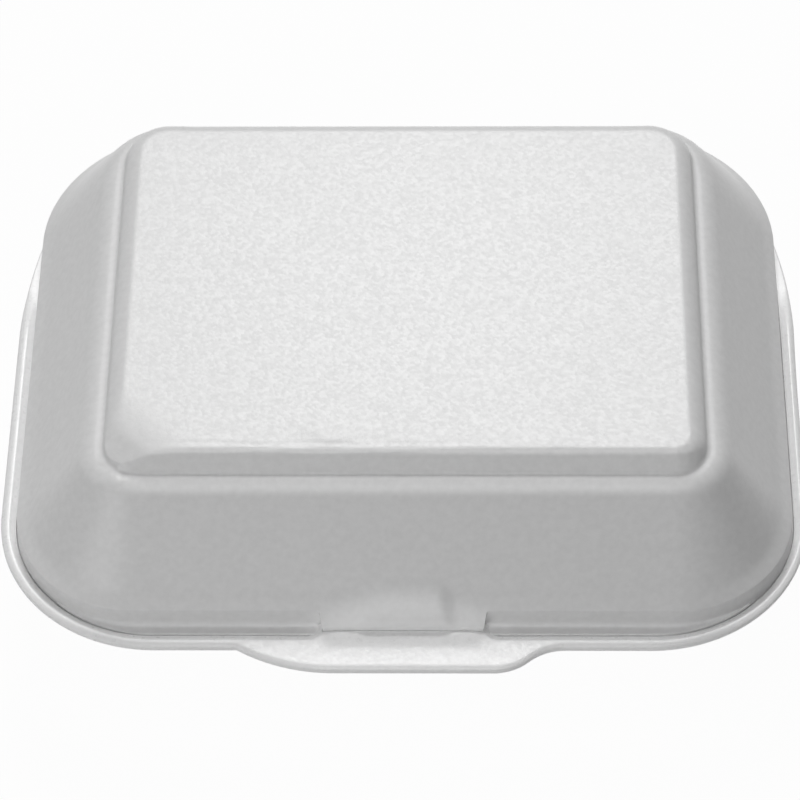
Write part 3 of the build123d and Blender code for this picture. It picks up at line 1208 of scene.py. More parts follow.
                spot = Vector(outer[row, column]) * self.crumple_scale
                push[row, column] += crumple.strength * near[row, column] * noise.noise(spot)
        points[:, :outer_stop] += push[..., None] * normals
        self.crush_corner(points[:, outer_stop - self.step_points : outer_stop])
        points[..., 2] = np.minimum(points[..., 2], self.panel_level)

    def crush_corner(self, step: np.ndarray) -> None:
        """Presses the step down to the facets of the crushed corner.

        Args:
            step: points from the ledge to the panel, which are changed in place.
        """
        foot = self.ledge_level + self.ledge_rise
        near = smooth_step(step[..., 2], foot, foot + self.facet_foot_fade)
        step[..., 2] += near * (self.under_facet(step) - step[..., 2])

    def under_facet(self, points: np.ndarray) -> np.ndarray:
        """Gives the points' heights, lowered softly to the facets of the crushed corner.

        Args:
            points: points of the step or the panel.

        Returns:
            Their heights.
        """
        x, y, z = points[..., 0], points[..., 1], points[..., 2]
        soft = self.facet_softness
        lowered = z
        for facet in self.facets:
            plane = facet.foot[2] + facet.slope * (x + y - facet.foot[0] - facet.foot[1])
            share = np.clip(0.5 + 0.5 * (plane - lowered) / soft, 0.0, 1.0)
            lowered = plane + share * (lowered - plane) - soft * share * (1.0 - share)
        return np.where((x < 0.0) & (y < 0.0), lowered, z)

    def panel_heights(self, ring: np.ndarray) -> np.ndarray:
        """Gives the heights of a ring of panel points, with dents and the crushed corner.

        Args:
            ring: the ring's points.

        Returns:
            Their heights.
        """
        level = ring.copy()
        level[:, 2] = self.panel_level + self.relief(ring)
        return self.under_facet(level)

    def build(self, sweep: SheetSweep, finish: bpy.types.Material) -> bpy.types.Object:
        """Builds the lid's mesh.

        Args:
            sweep: the node tree that carries the section round the outline.
            finish: the foam.

        Returns:
            The lid.
        """
        section = self.section(self.side)
        points = sweep.sweep("lid_shell", self.stations, section, finish)
        self.form_step(points, section)
        in_tongue = self.form_foot(points)
        self.form_boss(points)
        outer_stop = self.foot_points + self.lip_points + self.wall_points + self.step_points - 3
        self.wear(points, outer_stop)
        sheet = SheetMesh()
        numbers = sheet.add(points)
        keep = np.ones(numbers.shape, bool)
        keep[:, outer_stop - 1] = False
        low = np.zeros(len(section), bool)
        low[: self.foot_points] = True
        low[len(section) - self.inner_foot_points + 1 :] = True
        low_faces = low & np.roll(low, -1)
        run = np.flatnonzero(low)
        order = np.concatenate((run[run >= outer_stop], run[run < outer_stop]))
        for edge in np.flatnonzero(in_tongue != np.roll(in_tongue, -1)):
            keep[edge, low_faces] = False
            pair = (edge, (edge + 1) % len(numbers))
            for station in pair:
                sheet.faces.append(tuple(map(int, numbers[station, order])))
            ends = numbers[np.ix_(pair, (order[-1], order[0]))]
            sheet.faces.append(tuple(map(int, (ends[0, 0], ends[1, 0], ends[1, 1], ends[0, 1]))))
        sheet.skin(numbers, keep)
        reach = self.half_depth - self.panel_inset
        rim, under = outer_stop - 1, outer_stop
        sheet.cap(
            numbers[:, rim],
            points[:, rim],
            [depth / reach for depth in self.ring_depths],
            self.panel_heights,
            True,
        )
        sheet.cap(
            numbers[:, under],
            points[:, under],
            [depth / reach for depth in self.inner_ring_depths],
            lambda ring: ring[:, 2],
            False,
        )
        return sheet.object("lid_shell", finish)


@dataclass
class Tray:
    """The tray: floor, drafted wall, seat, beaded rim, the latch's tab and slot, half of the hinge.

    Attributes:
        foam: sizes shared with the lid.
        mouth_inset: distance from the lid's lip in to the tray's mouth.
        wall_run: how far the wall comes in on its way down.
        rim_side_reach: how far the rim reaches out beyond the lid's lip at the sides.
        rim_taper_start: where the rim starts to narrow towards the back.
        bead_back_end: where the bead ends on its way to the back.
        bead_fade: length over which it sinks before that.
        back_margin: how near to the back edge a station has to be to carry the hinge strip.
        tab_reach: how far the tab stands out from the rim.
        tab_lift: how far the tab's underside is raised, while it stands out over tab_lift_run.
        cheek_half_width: half width of the raised ground round the slot.
        cheek_start: distance from the mouth at which that ground may start.
        bead_step: where the bead's inner edge rises steeply, measured from its crease.
        bead_slope: where the rest of its rise runs.
        bead_step_share: share of the steep part.
        right_tuck: how far the rim's right edge is drawn in, over tuck_run along Y.
        front_tuck: the same in front.
        edge_squash: how much of the edge's round is left.
        edge_thickness: thickness of the rim's edge, which edge_bevel thins from below.
        edge_low_radius: radius of the edge's lower corner.
        bevel_radius: radius where that bevel meets the underside.
        bevel_margin: underside left between the bevel and its root.
        slot_front_gap: gap in front of the tongue.
        slot_lift: how far the slot's front edge is raised.
        slot_lift_start: where that starts behind the edge.
        slot_lift_run: how far it runs out in front.
        slot_lift_ends: where it fades beyond and before the slot's ends.
        flat_start: distance from the mouth at which the rim's own line starts.
    """

    foam: FoamSheet
    mouth_inset: float = 4.5
    mouth_radius: float = 3.0
    wall_run: float = 26.0
    floor_radius: float = 8.0
    floor_margin: float = 0.4
    floor_front_radius: float = 4.0
    floor_back_radius: float = 15.5
    rim_side_reach: float = 5.4
    rim_front_reach: float = 9.95
    rim_back_reach: float = 0.6
    rim_front_radius: float = 48.0
    rim_taper_start: float = 15.0
    rim_edge_radius: float = 0.5
    bead_radius: float = 1.8
    bead_back_end: float = 36.0
    bead_fade: float = 24.0
    back_margin: float = 0.5
    bead_step: tuple[float, float] = (-0.32, -0.1)
    bead_slope: tuple[float, float] = (-0.2, 2.1)
    bead_step_share: float = 0.55
    right_tuck: float = 0.7
    front_tuck: float = 0.6
    tuck_run: tuple[float, float] = (-45.0, 5.0)
    edge_squash: float = 0.5
    edge_thickness: float = 0.9
    edge_bevel: float = 2.6
    edge_low_radius: float = 0.3
    bevel_radius: float = 0.6
    bevel_margin: float = 0.6
    least_bevel: float = 0.05
    root_margin: float = 0.3
    slot_front_gap: float = 0.2
    slot_lift: float = 0.5
    slot_lift_start: tuple[float, float] = (-2.0, -0.5)
    slot_lift_run: float = 6.5
    slot_lift_ends: tuple[float, float] = (1.5, -4.0)
    tab_reach: float = 8.1
    tab_flat_left: float = 20.0
    tab_flat_right: float = 26.0
    tab_root_left: float = 48.2
    tab_root_right: float = 47.0
    tab_lift: float = 1.4
    tab_lift_run: tuple[float, float] = (0.3, 2.0)
    cheek_half_width: float = 25.25
    cheek_round: float = 2.5
    cheek_start: float = 5.1
    slot_half_width: float = 23.45
    flat_start: float = 2.2
    turn_weight: float = 2.0
    rim_samples: int = 160
    fold_samples: int = 40
    top_points: int = 40
    under_points: int = 14
    bowl_points: int = 30
    bottom_points: int = 22
    ring_depths: tuple[float, ...] = (3.0, 8.0, 16.0, 28.0, 44.0)

    def __post_init__(self) -> None:
        """Works out the outlines, the stations and the rim's width at each of them."""
        foam = self.foam
        lip_x, lip_y = foam.lip_width / 2, foam.lip_depth / 2
        self.half_width = lip_x - self.mouth_inset
        self.half_depth = lip_y - self.mouth_inset
        round_run = self.floor_radius * math.tan(math.atan2(foam.seat, self.wall_run) / 2)
        self.floor_inset = self.wall_run + round_run + self.floor_margin
        self.rim_half_width = lip_x + self.rim_side_reach
        self.rim_front = lip_y + self.rim_front_reach
        self.back_radius = foam.lip_back_radius + self.rim_back_reach
        self.back_centre = np.array((lip_x - foam.lip_back_radius, lip_y - foam.lip_back_radius))
        across = self.rim_half_width - self.back_centre[0]
        along = self.back_centre[1] - self.rim_taper_start
        chord = across**2 + along**2 - self.back_radius**2
        self.taper_radius = chord / (2 * (across - self.back_radius))
        self.taper_centre = np.array((self.rim_half_width - self.taper_radius, self.rim_taper_start))
        self.taper_angle = math.atan2(along, self.back_centre[0] - self.taper_centre[0])
        ends = (self.slot_half_width, self.cheek_half_width)
        marks = (-self.tab_root_left, self.tab_root_right, *ends, *(-end for end in ends))
        plan = StationPlan(
            front_features=tuple(sorted(marks)),
            back_features=(-foam.hinge_length / 2, foam.hinge_length / 2),
        )
        outline = PlanOutline(
            self.half_width,
            self.half_depth,
            self.floor_front_radius + self.floor_inset,
            self.floor_back_radius + self.floor_inset,
        )
        self.stations, self.outs = outline.stations(plan)
        radius = foam.bead_inner_radius
        bead = PlanOutline(foam.bead_inner_half_width, foam.bead_inner_front, radius, radius)
        self.reach = reach_to(self.rim_distance, self.stations, self.outs)
        ahead = smooth_step(-self.stations[:, 1], *self.tuck_run)
        self.reach -= self.right_tuck * np.maximum(self.outs[:, 0], 0.0) * ahead
        self.reach -= self.front_tuck * np.maximum(-self.outs[:, 1], 0.0)
        self.crease = reach_to(lambda spots: outline_distance(bead, spots), self.stations, self.outs)
        self.in_front = self.stations[:, 1] < -self.half_depth + MM
        self.tab = np.where(self.in_front, self.tab_out(self.stations[:, 0]), 0.0)
        rim_y = (self.stations + self.reach[:, None] * self.outs)[:, 1]
        self.fade = smooth_step(rim_y, self.bead_back_end, self.bead_back_end - self.bead_fade)
        fold_x = self.stations[:, 0] + (foam.hinge_y - self.half_depth) * self.outs[:, 0]
        at_back = self.stations[:, 1] > self.half_depth - self.back_margin
        self.hinged = np.where(at_back, foam.hinge_share(fold_x), 0.0)

    def rim_distance(self, points: np.ndarray) -> np.ndarray:
        """Gives each point's distance from the rim's outer edge, negative inside it.

        Args:
            points: places, one row each.

        Returns:
            One distance for each point.
        """
        x, y = np.abs(points[:, 0]), points[:, 1]
        front_x = self.rim_half_width - self.rim_front_radius
        front_y = self.rim_front_radius - self.rim_front
        corner = np.hypot(np.maximum(x - front_x, 0.0), np.maximum(front_y - y, 0.0))
        corner -= self.rim_front_radius
        taper = np.hypot(x - self.taper_centre[0], y - self.taper_centre[1]) - self.taper_radius
        back_x = np.maximum(x - self.back_centre[0], 0.0)
        back_y = y - self.back_centre[1]
        back = np.hypot(back_x, back_y) - self.back_radius
        beyond = np.arctan2(back_y, np.maximum(x - self.back_centre[0], 1e-9)) > self.taper_angle
        behind = np.where(beyond, back, taper)
        side = x - self.rim_half_width
        return np.where(y > self.rim_taper_start, behind, np.where(y < front_y, corner, side))

    def tab_out(self, x: np.ndarray) -> np.ndarray:
        """Gives how far the tab stands out: one arc on its left, two arcs in an S on its right.

        Args:
            x: places along the front.

        Returns:
            The distance from the rim's front edge at each.
        """
        run = self.tab_root_left - self.tab_flat_left
        radius = (run**2 + self.tab_reach**2) / (2 * self.tab_reach)
        left = self.tab_reach - radius + arc_height(radius, x + self.tab_flat_left)
        half = (self.tab_root_right - self.tab_flat_right) / 2
        bend = (half**2 + (self.tab_reach / 2) ** 2) / self.tab_reach
        early = self.tab_reach - bend + arc_height(bend, x - self.tab_flat_right)
        late = bend - arc_height(bend, self.tab_root_right - x)
        right = np.where(x < self.tab_flat_right + half, early, late)
        flat = np.full_like(x, self.tab_reach)
        out = np.where(x < -self.tab_flat_left, left, np.where(x > self.tab_flat_right, right, flat))
        return np.where((x < -self.tab_root_left) | (x > self.tab_root_right), 0.0, np.maximum(out, 0.0))

    def rim_line(self, station: int) -> np.ndarray:
        """Draws the rim at a station, from the seat out over the bead to its edge and back below.

        Args:
            station: the station's number.

        Returns:
            Points as inset and height, always the same number.
        """
        foam = self.foam
        x = abs(self.stations[station, 0])
        fade, tab = self.fade[station], self.tab[station]
        edge = self.reach[station] + tab
        out = np.linspace(self.flat_start, edge, self.rim_samples)
        beyond = out - self.crease[station]
        if self.in_front[station] and x < 2 * self.cheek_half_width:
            beside = np.where(out > self.cheek_start, self.cheek_half_width - x, -self.cheek_half_width)
            past = [np.maximum(side + self.cheek_round, 0.0) for side in (beyond, beside)]
            beyond = np.hypot(*past) - self.cheek_round
        radius = self.rim_edge_radius + (self.bead_radius - self.rim_edge_radius) * fade
        drop = radius - arc_height(radius, np.maximum(radius - (edge - out), 0.0))
        drop *= 1.0 - (1.0 - self.edge_squash) * fade
        rise = self.bead_step_share * smooth_step(beyond, *self.bead_step)
        rise += (1.0 - self.bead_step_share) * smooth_step(beyond, *self.bead_slope)
        height = foam.seat + fade * foam.bead_height * rise - drop
        if self.in_front[station]:
            from_slot = out - (foam.tongue_face + self.slot_front_gap - self.half_depth)
            lift = smooth_step(from_slot, *self.slot_lift_start)
            lift *= smooth_step(from_slot, self.slot_lift_run, 0.0)
            height += self.slot_lift * lift * smooth_step(x - self.slot_half_width, *self.slot_lift_ends)
        top = np.column_stack((out, height))
        low = foam.seat - foam.sheet
        low_edge = low + self.tab_lift * float(smooth_step(tab, *self.tab_lift_run))
        thick = top[-1, 1] - low_edge - self.least_bevel
        thick += (self.edge_thickness - thick) * fade
        bevel = max(self.edge_bevel * fade, self.least_bevel)
        root = min(self.reach[station] - self.root_margin, edge - bevel - self.bevel_margin)
        under_corners = [
            (edge, top[-1, 1], 0.0),
            (edge, top[-1, 1] - thick, self.edge_low_radius * fade),
            (edge - bevel, low_edge, self.bevel_radius * fade),
            (root, low_edge, 0.0),
            (root - self.tab_lift, low, 0.0),
            (self.flat_start, low, 0.0),
        ]
        under = filleted_line(under_corners)
        top = spaced(top, self.top_points, self.turn_weight)
        under = spaced(under, self.under_points, self.turn_weight)
        if self.hinged[station] > 0.0:
            fold_top, fold_under = self.fold_lines()
            top = top + self.hinged[station] * (fold_top - top)
            under = under + self.hinged[station] * (fold_under - under)
        line = np.vstack((top, under[1:]))
        return line * np.array((-1.0, 1.0))

    def fold_lines(self) -> tuple[np.ndarray, np.ndarray]:
        """Draws the hinge strip: its top with the round fold line, then its bevel and its underside.

        Returns:
            The top and the underside, as distance out and height.
        """
        foam = self.foam
        axis = foam.hinge_y - self.half_depth
        lift = foam.fold_lift
        meet = (math.sqrt(2 * foam.fold_radius**2 - lift**2) - lift) / 2
        start = math.pi + math.asin(lift / foam.fold_radius)
        stop = math.atan2(-lift - meet, -meet)
        angles = np.linspace(start, stop, self.fold_samples)
        ways = np.column_stack((np.cos(angles), np.sin(angles)))
        fold = np.array((axis, foam.seat + lift)) + foam.fold_radius * ways
        top = np.vstack(([[self.flat_start, foam.seat]], fold))
        low = foam.seat - foam.sheet
        bevel_foot = (axis - foam.sheet, low, foam.least_radius)
        under = filleted_line([(*fold[-1], 0.0), bevel_foot, (self.flat_start, low, 0.0)])
        lines = ((top, self.top_points), (under, self.under_points))
        return tuple(spaced(line, count, self.turn_weight) for line, count in lines)

    def build(self, sweep: SheetSweep, finish: bpy.types.Material) -> bpy.types.Object:
        """Builds the tray's mesh.

        Args:
            sweep: the node tree that carries the section round the outline.
            finish: the foam.

        Returns:
            The tray.
        """
        foam = self.foam
        bowl_corners = [
            (-self.flat_start, foam.seat, 0.0),
            (0.0, foam.seat, self.mouth_radius),
            (self.wall_run, foam.sheet, self.floor_radius),
            (self.floor_inset, foam.sheet, 0.0),
        ]
        bowl = spaced(filleted_line(bowl_corners), self.bowl_points, self.turn_weight)
        bottom = filleted_line(offset_corners(bowl_corners, foam.sheet, foam.least_radius))
        bottom = spaced(bottom, self.bottom_points, self.turn_weight)
        rim = self.rim_line(0)
        section = np.vstack((rim, bottom[1:], bowl[:0:-1]))
        points = sweep.sweep("tray_shell", self.stations, section, finish)
        for number, place in enumerate(self.stations):
            line = np.vstack((self.rim_line(number), section[len(rim) :]))
            points[number, :, :2] = place - line[:, :1] * self.outs[number]
            points[number, :, 2] = line[:, 1]
        sheet = SheetMesh()
        numbers = sheet.add(points)
        under = len(rim) + self.bottom_points - 2
        keep = np.ones(numbers.shape, bool)
        keep[:, under] = False
        sheet.skin(numbers, keep)
        reach = self.half_depth - self.floor_inset
        shares = [depth / reach for depth in self.ring_depths]
        sheet.cap(numbers[:, under], points[:, under], shares, lambda ring: ring[:, 2], False)
        sheet.cap(numbers[:, under + 1], points[:, under + 1], shares, lambda ring: ring[:, 2], True)
        tray = sheet.object("tray_shell", finish)
        back = foam.tongue_face - foam.sheet - foam.slot_clearance
        front = foam.tongue_face + self.slot_front_gap
        low = Vector((-self.slot_half_width, -front, foam.seat - 2 * foam.sheet))
        high = Vector((self.slot_half_width, -back, foam.seat + 2 * foam.sheet))
        cut_box(tray, low, high)
        return tray


def cut_box(piece: bpy.types.Object, low: Vector, high: Vector) -> None:
    """Cuts a box out of a piece.

    Args:
        piece: the piece, whose mesh is replaced.
        low: the box's lowest corner in millimetres.
        high: its highest corner.
    """
    shape = bmesh.new()
    bmesh.ops.create_cube(shape, size=1.0)
    place = Matrix.Translation((low + high) / 2 * MM) @ Matrix.Diagonal(((high - low) * MM).to_4d())
    bmesh.ops.transform(shape, matrix=place, verts=shape.verts)
    mesh = bpy.data.meshes.new("cutter")
    shape.to_mesh(mesh)
    shape.free()
    cutter = bpy.data.objects.new("cutter", mesh)
    bpy.context.scene.collection.objects.link(cutter)
    modifier = piece.modifiers.new("slot", "BOOLEAN")
    modifier.operation = "DIFFERENCE"
    modifier.solver = "EXACT"
    modifier.object = cutter
    graph = bpy.context.evaluated_depsgraph_get()
    whole = piece.data
    piece.data = bpy.data.meshes.new_from_object(piece.evaluated_get(graph))
    piece.modifiers.remove(modifier)
    bpy.data.meshes.remove(whole)
    bpy.data.objects.remove(cutter)
    bpy.data.meshes.remove(mesh)


class FoamCells:
    """Shader node group for the skin of closed-cell foam, shared by the lid and the tray.

    Attributes:
        grain_scale: scale of the fine grain.
        grain_share: height of the grain, as a share of a cell's.
        mottle_scale: scale of the mottle.
    """

    grain_scale: float = 2600.0
    grain_share: float = 0.45
    mottle_scale: float = 480.0

    def __init__(self) -> None:
        """Builds the group: rounded cells, a finer grain and a soft mottle."""
        self.tree = bpy.data.node_groups.new("foam_cells", "ShaderNodeTree")
        interface = self.tree.interface
        interface.new_socket("Vector", in_out="INPUT", socket_type="NodeSocketVector")
        interface.new_socket("Cells per Metre", in_out="INPUT", socket_type="NodeSocketFloat")
        interface.new_socket("Height", in_out="OUTPUT", socket_type="NodeSocketFloat")
        interface.new_socket("Cell", in_out="OUTPUT", socket_type="NodeSocketFloat")
        interface.new_socket("Mottle", in_out="OUTPUT", socket_type="NodeSocketFloat")
        nodes, links = self.tree.nodes, self.tree.links
        given = nodes.new("NodeGroupInput")
        result = nodes.new("NodeGroupOutput")
        cells = add_node(nodes, "ShaderNodeTexVoronoi", {"feature": "F1"})
        grain = add_node(nodes, "ShaderNodeTexNoise", inputs={"Scale": self.grain_scale, "Detail": 2.0})
        mottle = add_node(nodes, "ShaderNodeTexNoise", inputs={"Scale": self.mottle_scale, "Detail": 3.0})
        dome = add_node(nodes, "ShaderNodeMath", {"operation": "MULTIPLY"})
        fall = add_node(nodes, "ShaderNodeMath", {"operation": "SUBTRACT"}, {0: 1.0})
        rough = add_node(nodes, "ShaderNodeMath", {"operation": "MULTIPLY_ADD"}, {1: self.grain_share})
        split = nodes.new("ShaderNodeSeparateColor")
        for texture in (cells, grain, mottle):
            links.new(given.outputs["Vector"], texture.inputs["Vector"])
        for source, target in (
            (given.outputs["Cells per Metre"], cells.inputs["Scale"]),
            (cells.outputs["Distance"], dome.inputs[0]),
            (cells.outputs["Distance"], dome.inputs[1]),
            (dome.outputs[0], fall.inputs[1]),
            (grain.outputs["Fac"], rough.inputs[0]),
            (fall.outputs[0], rough.inputs[2]),
            (cells.outputs["Color"], split.inputs["Color"]),
            (rough.outputs[0], result.inputs["Height"]),
            (split.outputs["Red"], result.inputs["Cell"]),
            (mottle.outputs["Fac"], result.inputs["Mottle"]),
        ):
            links.new(source, target)


@dataclass(frozen=True)
class FoamFinish:
    """A finish of white foam.

    Attributes:
        name: the material's name.
        shade: the foam's grey, linear.
        shade_spread: how much darker its darkest patches are.
        mottle_ends: values of the mottle that give the darkest and the lightest patches.
        smooth: roughness of the glossiest cells.
        rough: roughness of the dullest cells.
        cells_per_metre: how many cells lie side by side in a metre.
        cell_depth: how deep the skin follows the cells, in metres.
        cell_strength: strength of that relief.
        painted_light_place: middle of a spot of painted light on the tongue and boss, in metres.
        painted_light_reach: half of that spot's size along each axis.
        painted_light_shade: how much lighter the painted light makes the spot.
    """

    name: str
    shade: float = 0.84
    shade_spread: float = 0.05
    mottle_ends: tuple[float, float] = (0.3, 0.7)
    smooth: float = 0.33
    rough: float = 0.41
    cells_per_metre: float = 1150.0
    cell_depth: float = 0.00012
    cell_strength: float = 0.08
    painted_light_place: Place = (0.0, 0.0, 0.0)
    painted_light_reach: Place = (0.01, 0.01, 0.01)
    painted_light_shade: float = 0.0

    def material(self, cells: FoamCells) -> bpy.types.Material:
        """Makes the material.

        Args:
            cells: the shared node group.

        Returns:
            The material.
        """
        material = bpy.data.materials.new(self.name)
        material.use_nodes = True
        nodes, links = material.node_tree.nodes, material.node_tree.links
        skin = nodes["Principled BSDF"]
        place = nodes.new("ShaderNodeTexCoord")
        count = {"Cells per Metre": self.cells_per_metre}
        group = add_node(nodes, "ShaderNodeGroup", {"node_tree": cells.tree}, count)
        darkest, lightest = self.mottle_ends
        shades = {"To Min": self.shade - self.shade_spread, "To Max": self.shade}
        shades |= {"From Min": darkest, "From Max": lightest}
        tone = add_node(nodes, "ShaderNodeMapRange", inputs=shades)
        glosses = {"To Min": self.smooth, "To Max": self.rough}
        gloss = add_node(nodes, "ShaderNodeMapRange", inputs=glosses)
        depths = {"Strength": self.cell_strength, "Distance": self.cell_depth}
        relief = add_node(nodes, "ShaderNodeBump", inputs=depths)
        # Painted light: a lighter spot over the lid's tongue and boss stands in for the brighter light
        # that falls there.
        shift = add_node(nodes, "ShaderNodeVectorMath", {"operation": "SUBTRACT"}, {1: self.painted_light_place})
        shrink = add_node(nodes, "ShaderNodeVectorMath", {"operation": "DIVIDE"}, {1: self.painted_light_reach})
        away = add_node(nodes, "ShaderNodeVectorMath", {"operation": "LENGTH"})
        spot = {"From Min": 1.0, "From Max": 0.5, "To Max": self.painted_light_shade}
        painted_light = add_node(nodes, "ShaderNodeMapRange", {"interpolation_type": "SMOOTHSTEP"}, spot)
        tone_and_painted_light = nodes.new("ShaderNodeMath")
        grey = nodes.new("ShaderNodeCombineColor")
        for channel in ("Red", "Green", "Blue"):
            links.new(tone_and_painted_light.outputs["Value"], grey.inputs[channel])
        for source, target in (
            (place.outputs["Object"], group.inputs["Vector"]),
            (place.outputs["Object"], shift.inputs[0]),
            (shift.outputs["Vector"], shrink.inputs[0]),
            (shrink.outputs["Vector"], away.inputs[0]),
            (away.outputs["Value"], painted_light.inputs["Value"]),
            (group.outputs["Mottle"], tone.inputs["Value"]),
            (tone.outputs["Result"], tone_and_painted_light.inputs[0]),
            (painted_light.outputs["Result"], tone_and_painted_light.inputs[1]),
            (grey.outputs["Color"], skin.inputs["Base Color"]),
            (group.outputs["Cell"], gloss.inputs["Value"]),
            (gloss.outputs["Result"], skin.inputs["Roughness"]),
            (group.outputs["Height"], relief.inputs["Height"]),
            (relief.outputs["Normal"], skin.inputs["Normal"]),
        ):
            links.new(source, target)
        return material


@dataclass(frozen=True)
class SoftBox:
    """A soft light: an area lamp that looks at the box.

    Attributes:
        name: the lamp's name.
        azimuth: degrees round from the camera's side, to the right.
        elevation: degrees above the table.
        distance: distance from the box in metres.
        size: edge of the lamp in metres.
        power: watts.
    """

    name: str
    azimuth: float
    elevation: float
    distance: float
    size: float
    power: float

    def place(self, aim: Vector) -> None:
        """Puts the lamp into the scene, turned to a point.

        Args:
            aim: the point, in metres.
        """
        data = bpy.data.lights.new(self.name, "AREA")
        data.shape = "SQUARE"
        data.size = self.size
        data.energy = self.power
        way = direction(math.radians(self.azimuth), math.radians(self.elevation))
        lamp = bpy.data.objects.new(self.name, data)
        lamp.location = aim + way * self.distance
        lamp.rotation_euler = way.to_track_quat("Z", "Y").to_euler()
        bpy.context.scene.collection.objects.link(lamp)


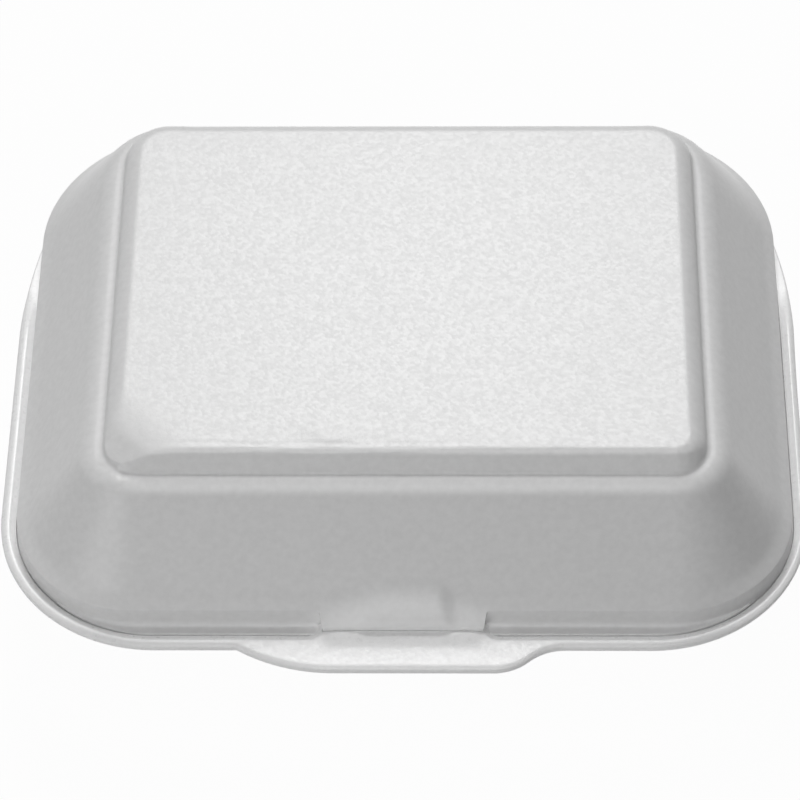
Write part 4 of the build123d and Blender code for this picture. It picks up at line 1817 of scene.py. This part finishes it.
@dataclass
class Studio:
    """Floor, light and camera.

    Attributes:
        lamps: the soft lights.
        lamp_aim: point that the lights are turned to, in metres.
        floor_white: share of pure white in the floor as the camera sees it; the rest shows the shadow.
        floor_grey: colour of that rest.
        floor_half: half of the floor's edge, in metres.
        lens: focal length in millimetres.
        sensor: width of the camera's sensor in millimetres.
        clip: how far the camera sees, in metres.
        aim: point in the middle of the picture, in millimetres.
        azimuth: how far the camera stands round to the right, in radians.
        elevation: how high it looks down from, in radians.
        roll: how far it is tilted, in radians.
        distance: distance from the camera to the aim, in millimetres.
    """

    lamps: tuple[SoftBox, ...] = (
        SoftBox("sky", 0.0, 72.0, 1.2, 0.5, 2.4),
        SoftBox("sheen", 180.0, 51.0, 2.4, 0.8, 29.4),
        SoftBox("front_sheen", -4.0, 51.0, 1.2, 0.35, 1.0),
        SoftBox("front_fill", 0.0, 10.0, 1.3, 0.7, 0.6),
        SoftBox("left_fill", -36.0, 14.0, 1.3, 0.7, 3.2),
    )
    lamp_aim: tuple[float, float, float] = (0.0, 0.0, 0.05)
    floor_white: float = 0.97
    floor_grey: float = 0.8
    floor_half: float = 4.0
    lens: float = 168.25
    sensor: float = 36.0
    clip: float = 20.0
    aim: tuple[float, float, float] = (-1.85, -11.67, 44.9)
    azimuth: float = 0.027
    elevation: float = 0.88
    roll: float = -0.0207
    distance: float = 1142.0

    def build(self) -> None:
        """Puts floor, light and camera into the scene."""
        bpy.context.scene.view_settings.view_transform = "Standard"
        self.world()
        self.floor()
        for lamp in self.lamps:
            lamp.place(Vector(self.lamp_aim))
        self.camera()

    def world(self) -> None:
        """Sets a world that is white where the camera sees it and gives no light."""
        world = bpy.data.worlds.new("studio")
        bpy.context.scene.world = world
        world.use_nodes = True
        nodes, links = world.node_tree.nodes, world.node_tree.links
        light = nodes["Background"]
        light.inputs["Color"].default_value = (1.0, 1.0, 1.0, 1.0)
        links.new(self.seen_directly(nodes, links), light.inputs["Strength"])

    @staticmethod
    def seen_directly(nodes: bpy.types.Nodes, links: bpy.types.NodeLinks) -> bpy.types.NodeSocket:
        """Adds nodes that tell whether the camera, a mirror or clear glass sees a surface.

        Args:
            nodes: nodes of a material or of the world.
            links: the links between them.

        Returns:
            A socket that is 1 for such rays and 0 for the others.
        """
        path = nodes.new("ShaderNodeLightPath")
        total = path.outputs["Is Camera Ray"]
        for name in ("Is Glossy Ray", "Is Transmission Ray"):
            larger = add_node(nodes, "ShaderNodeMath", {"operation": "MAXIMUM"})
            links.new(total, larger.inputs[0])
            links.new(path.outputs[name], larger.inputs[1])
            total = larger.outputs[0]
        return total

    def floor(self) -> None:
        """Lays a white floor that keeps a faint shadow."""
        mesh = bpy.data.meshes.new("floor")
        edge = self.floor_half
        corners = [(-edge, -edge, 0.0), (edge, -edge, 0.0), (edge, edge, 0.0), (-edge, edge, 0.0)]
        mesh.from_pydata(corners, [], [(0, 1, 2, 3)])
        material = bpy.data.materials.new("floor")
        material.use_nodes = True
        nodes, links = material.node_tree.nodes, material.node_tree.links
        nodes.remove(nodes["Principled BSDF"])
        grey = (self.floor_grey, self.floor_grey, self.floor_grey, 1.0)
        matt = add_node(nodes, "ShaderNodeBsdfDiffuse", inputs={"Color": grey})
        glow = nodes.new("ShaderNodeEmission")
        share = add_node(nodes, "ShaderNodeMath", {"operation": "MULTIPLY"}, {1: self.floor_white})
        mix = nodes.new("ShaderNodeMixShader")
        links.new(self.seen_directly(nodes, links), share.inputs[0])
        links.new(share.outputs[0], mix.inputs["Fac"])
        links.new(matt.outputs["BSDF"], mix.inputs[1])
        links.new(glow.outputs["Emission"], mix.inputs[2])
        links.new(mix.outputs["Shader"], nodes["Material Output"].inputs["Surface"])
        mesh.materials.append(material)
        floor = bpy.data.objects.new("floor", mesh)
        bpy.context.scene.collection.objects.link(floor)

    def camera(self) -> None:
        """Sets the camera where the photograph was taken from."""
        back = direction(self.azimuth, self.elevation)
        right = Vector((0.0, 0.0, 1.0)).cross(back).normalized()
        up = back.cross(right)
        cos, sin = math.cos(self.roll), math.sin(self.roll)
        axes = Matrix((cos * right + sin * up, cos * up - sin * right, back)).transposed()
        data = bpy.data.cameras.new("photo_camera")
        data.lens = self.lens
        data.sensor_width = self.sensor
        data.clip_end = self.clip
        camera = bpy.data.objects.new("photo_camera", data)
        place = (Vector(self.aim) + back * self.distance) * MM
        camera.matrix_world = Matrix.Translation(place) @ axes.to_4x4()
        bpy.context.scene.collection.objects.link(camera)
        bpy.context.scene.camera = camera


@dataclass
class FoamBox:
    """The whole box: lid and tray in their finishes.

    Attributes:
        foam: sizes that both halves share.
        lid_finish: foam of the lid, with a spot of painted light on the tongue and boss.
        tray_finish: foam of the tray, the lid's foam with its grey raised as painted light on the bright
            tab and bead.
    """

    foam: FoamSheet = field(default_factory=FoamSheet)
    # The lighter spot round the tongue and boss is painted light, not a mark on the foam.
    lid_finish: FoamFinish = FoamFinish(
        "lid_foam",
        painted_light_place=(0.0, -0.1, 0.047),
        painted_light_reach=(0.034, 0.014, 0.012),
        painted_light_shade=0.14,
    )
    # The tray's grey of 0.95 against the lid's 0.84 is painted light: the same foam, lightened to stand
    # in for the sheen on the tab and the bead.
    tray_finish: FoamFinish = FoamFinish("tray_foam", shade=0.95, smooth=0.27, rough=0.35)

    def build(self) -> list[bpy.types.Object]:
        """Builds both halves, hides the CAD parts that they replace and attaches each to its body.

        Returns:
            The lid and the tray.
        """
        cells = FoamCells()
        sweep = SheetSweep()
        lid = Lid(self.foam).build(sweep, self.lid_finish.material(cells))
        tray = Tray(self.foam).build(sweep, self.tray_finish.material(cells))
        for piece, node, body in ((lid, "lid", "lid"), (tray, "base_tray", "base")):
            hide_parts(node)
            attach(piece, body)
            LOG.info("%s has %d faces", piece.name, len(piece.data.polygons))
        return [lid, tray]


def main() -> None:
    """Builds the box and its studio."""
    logging.basicConfig(level=logging.INFO, format="%(name)s: %(message)s")
    FoamBox().build()
    Studio().build()
    bpy.context.view_layer.update()


if __name__ == "__main__":
    main()
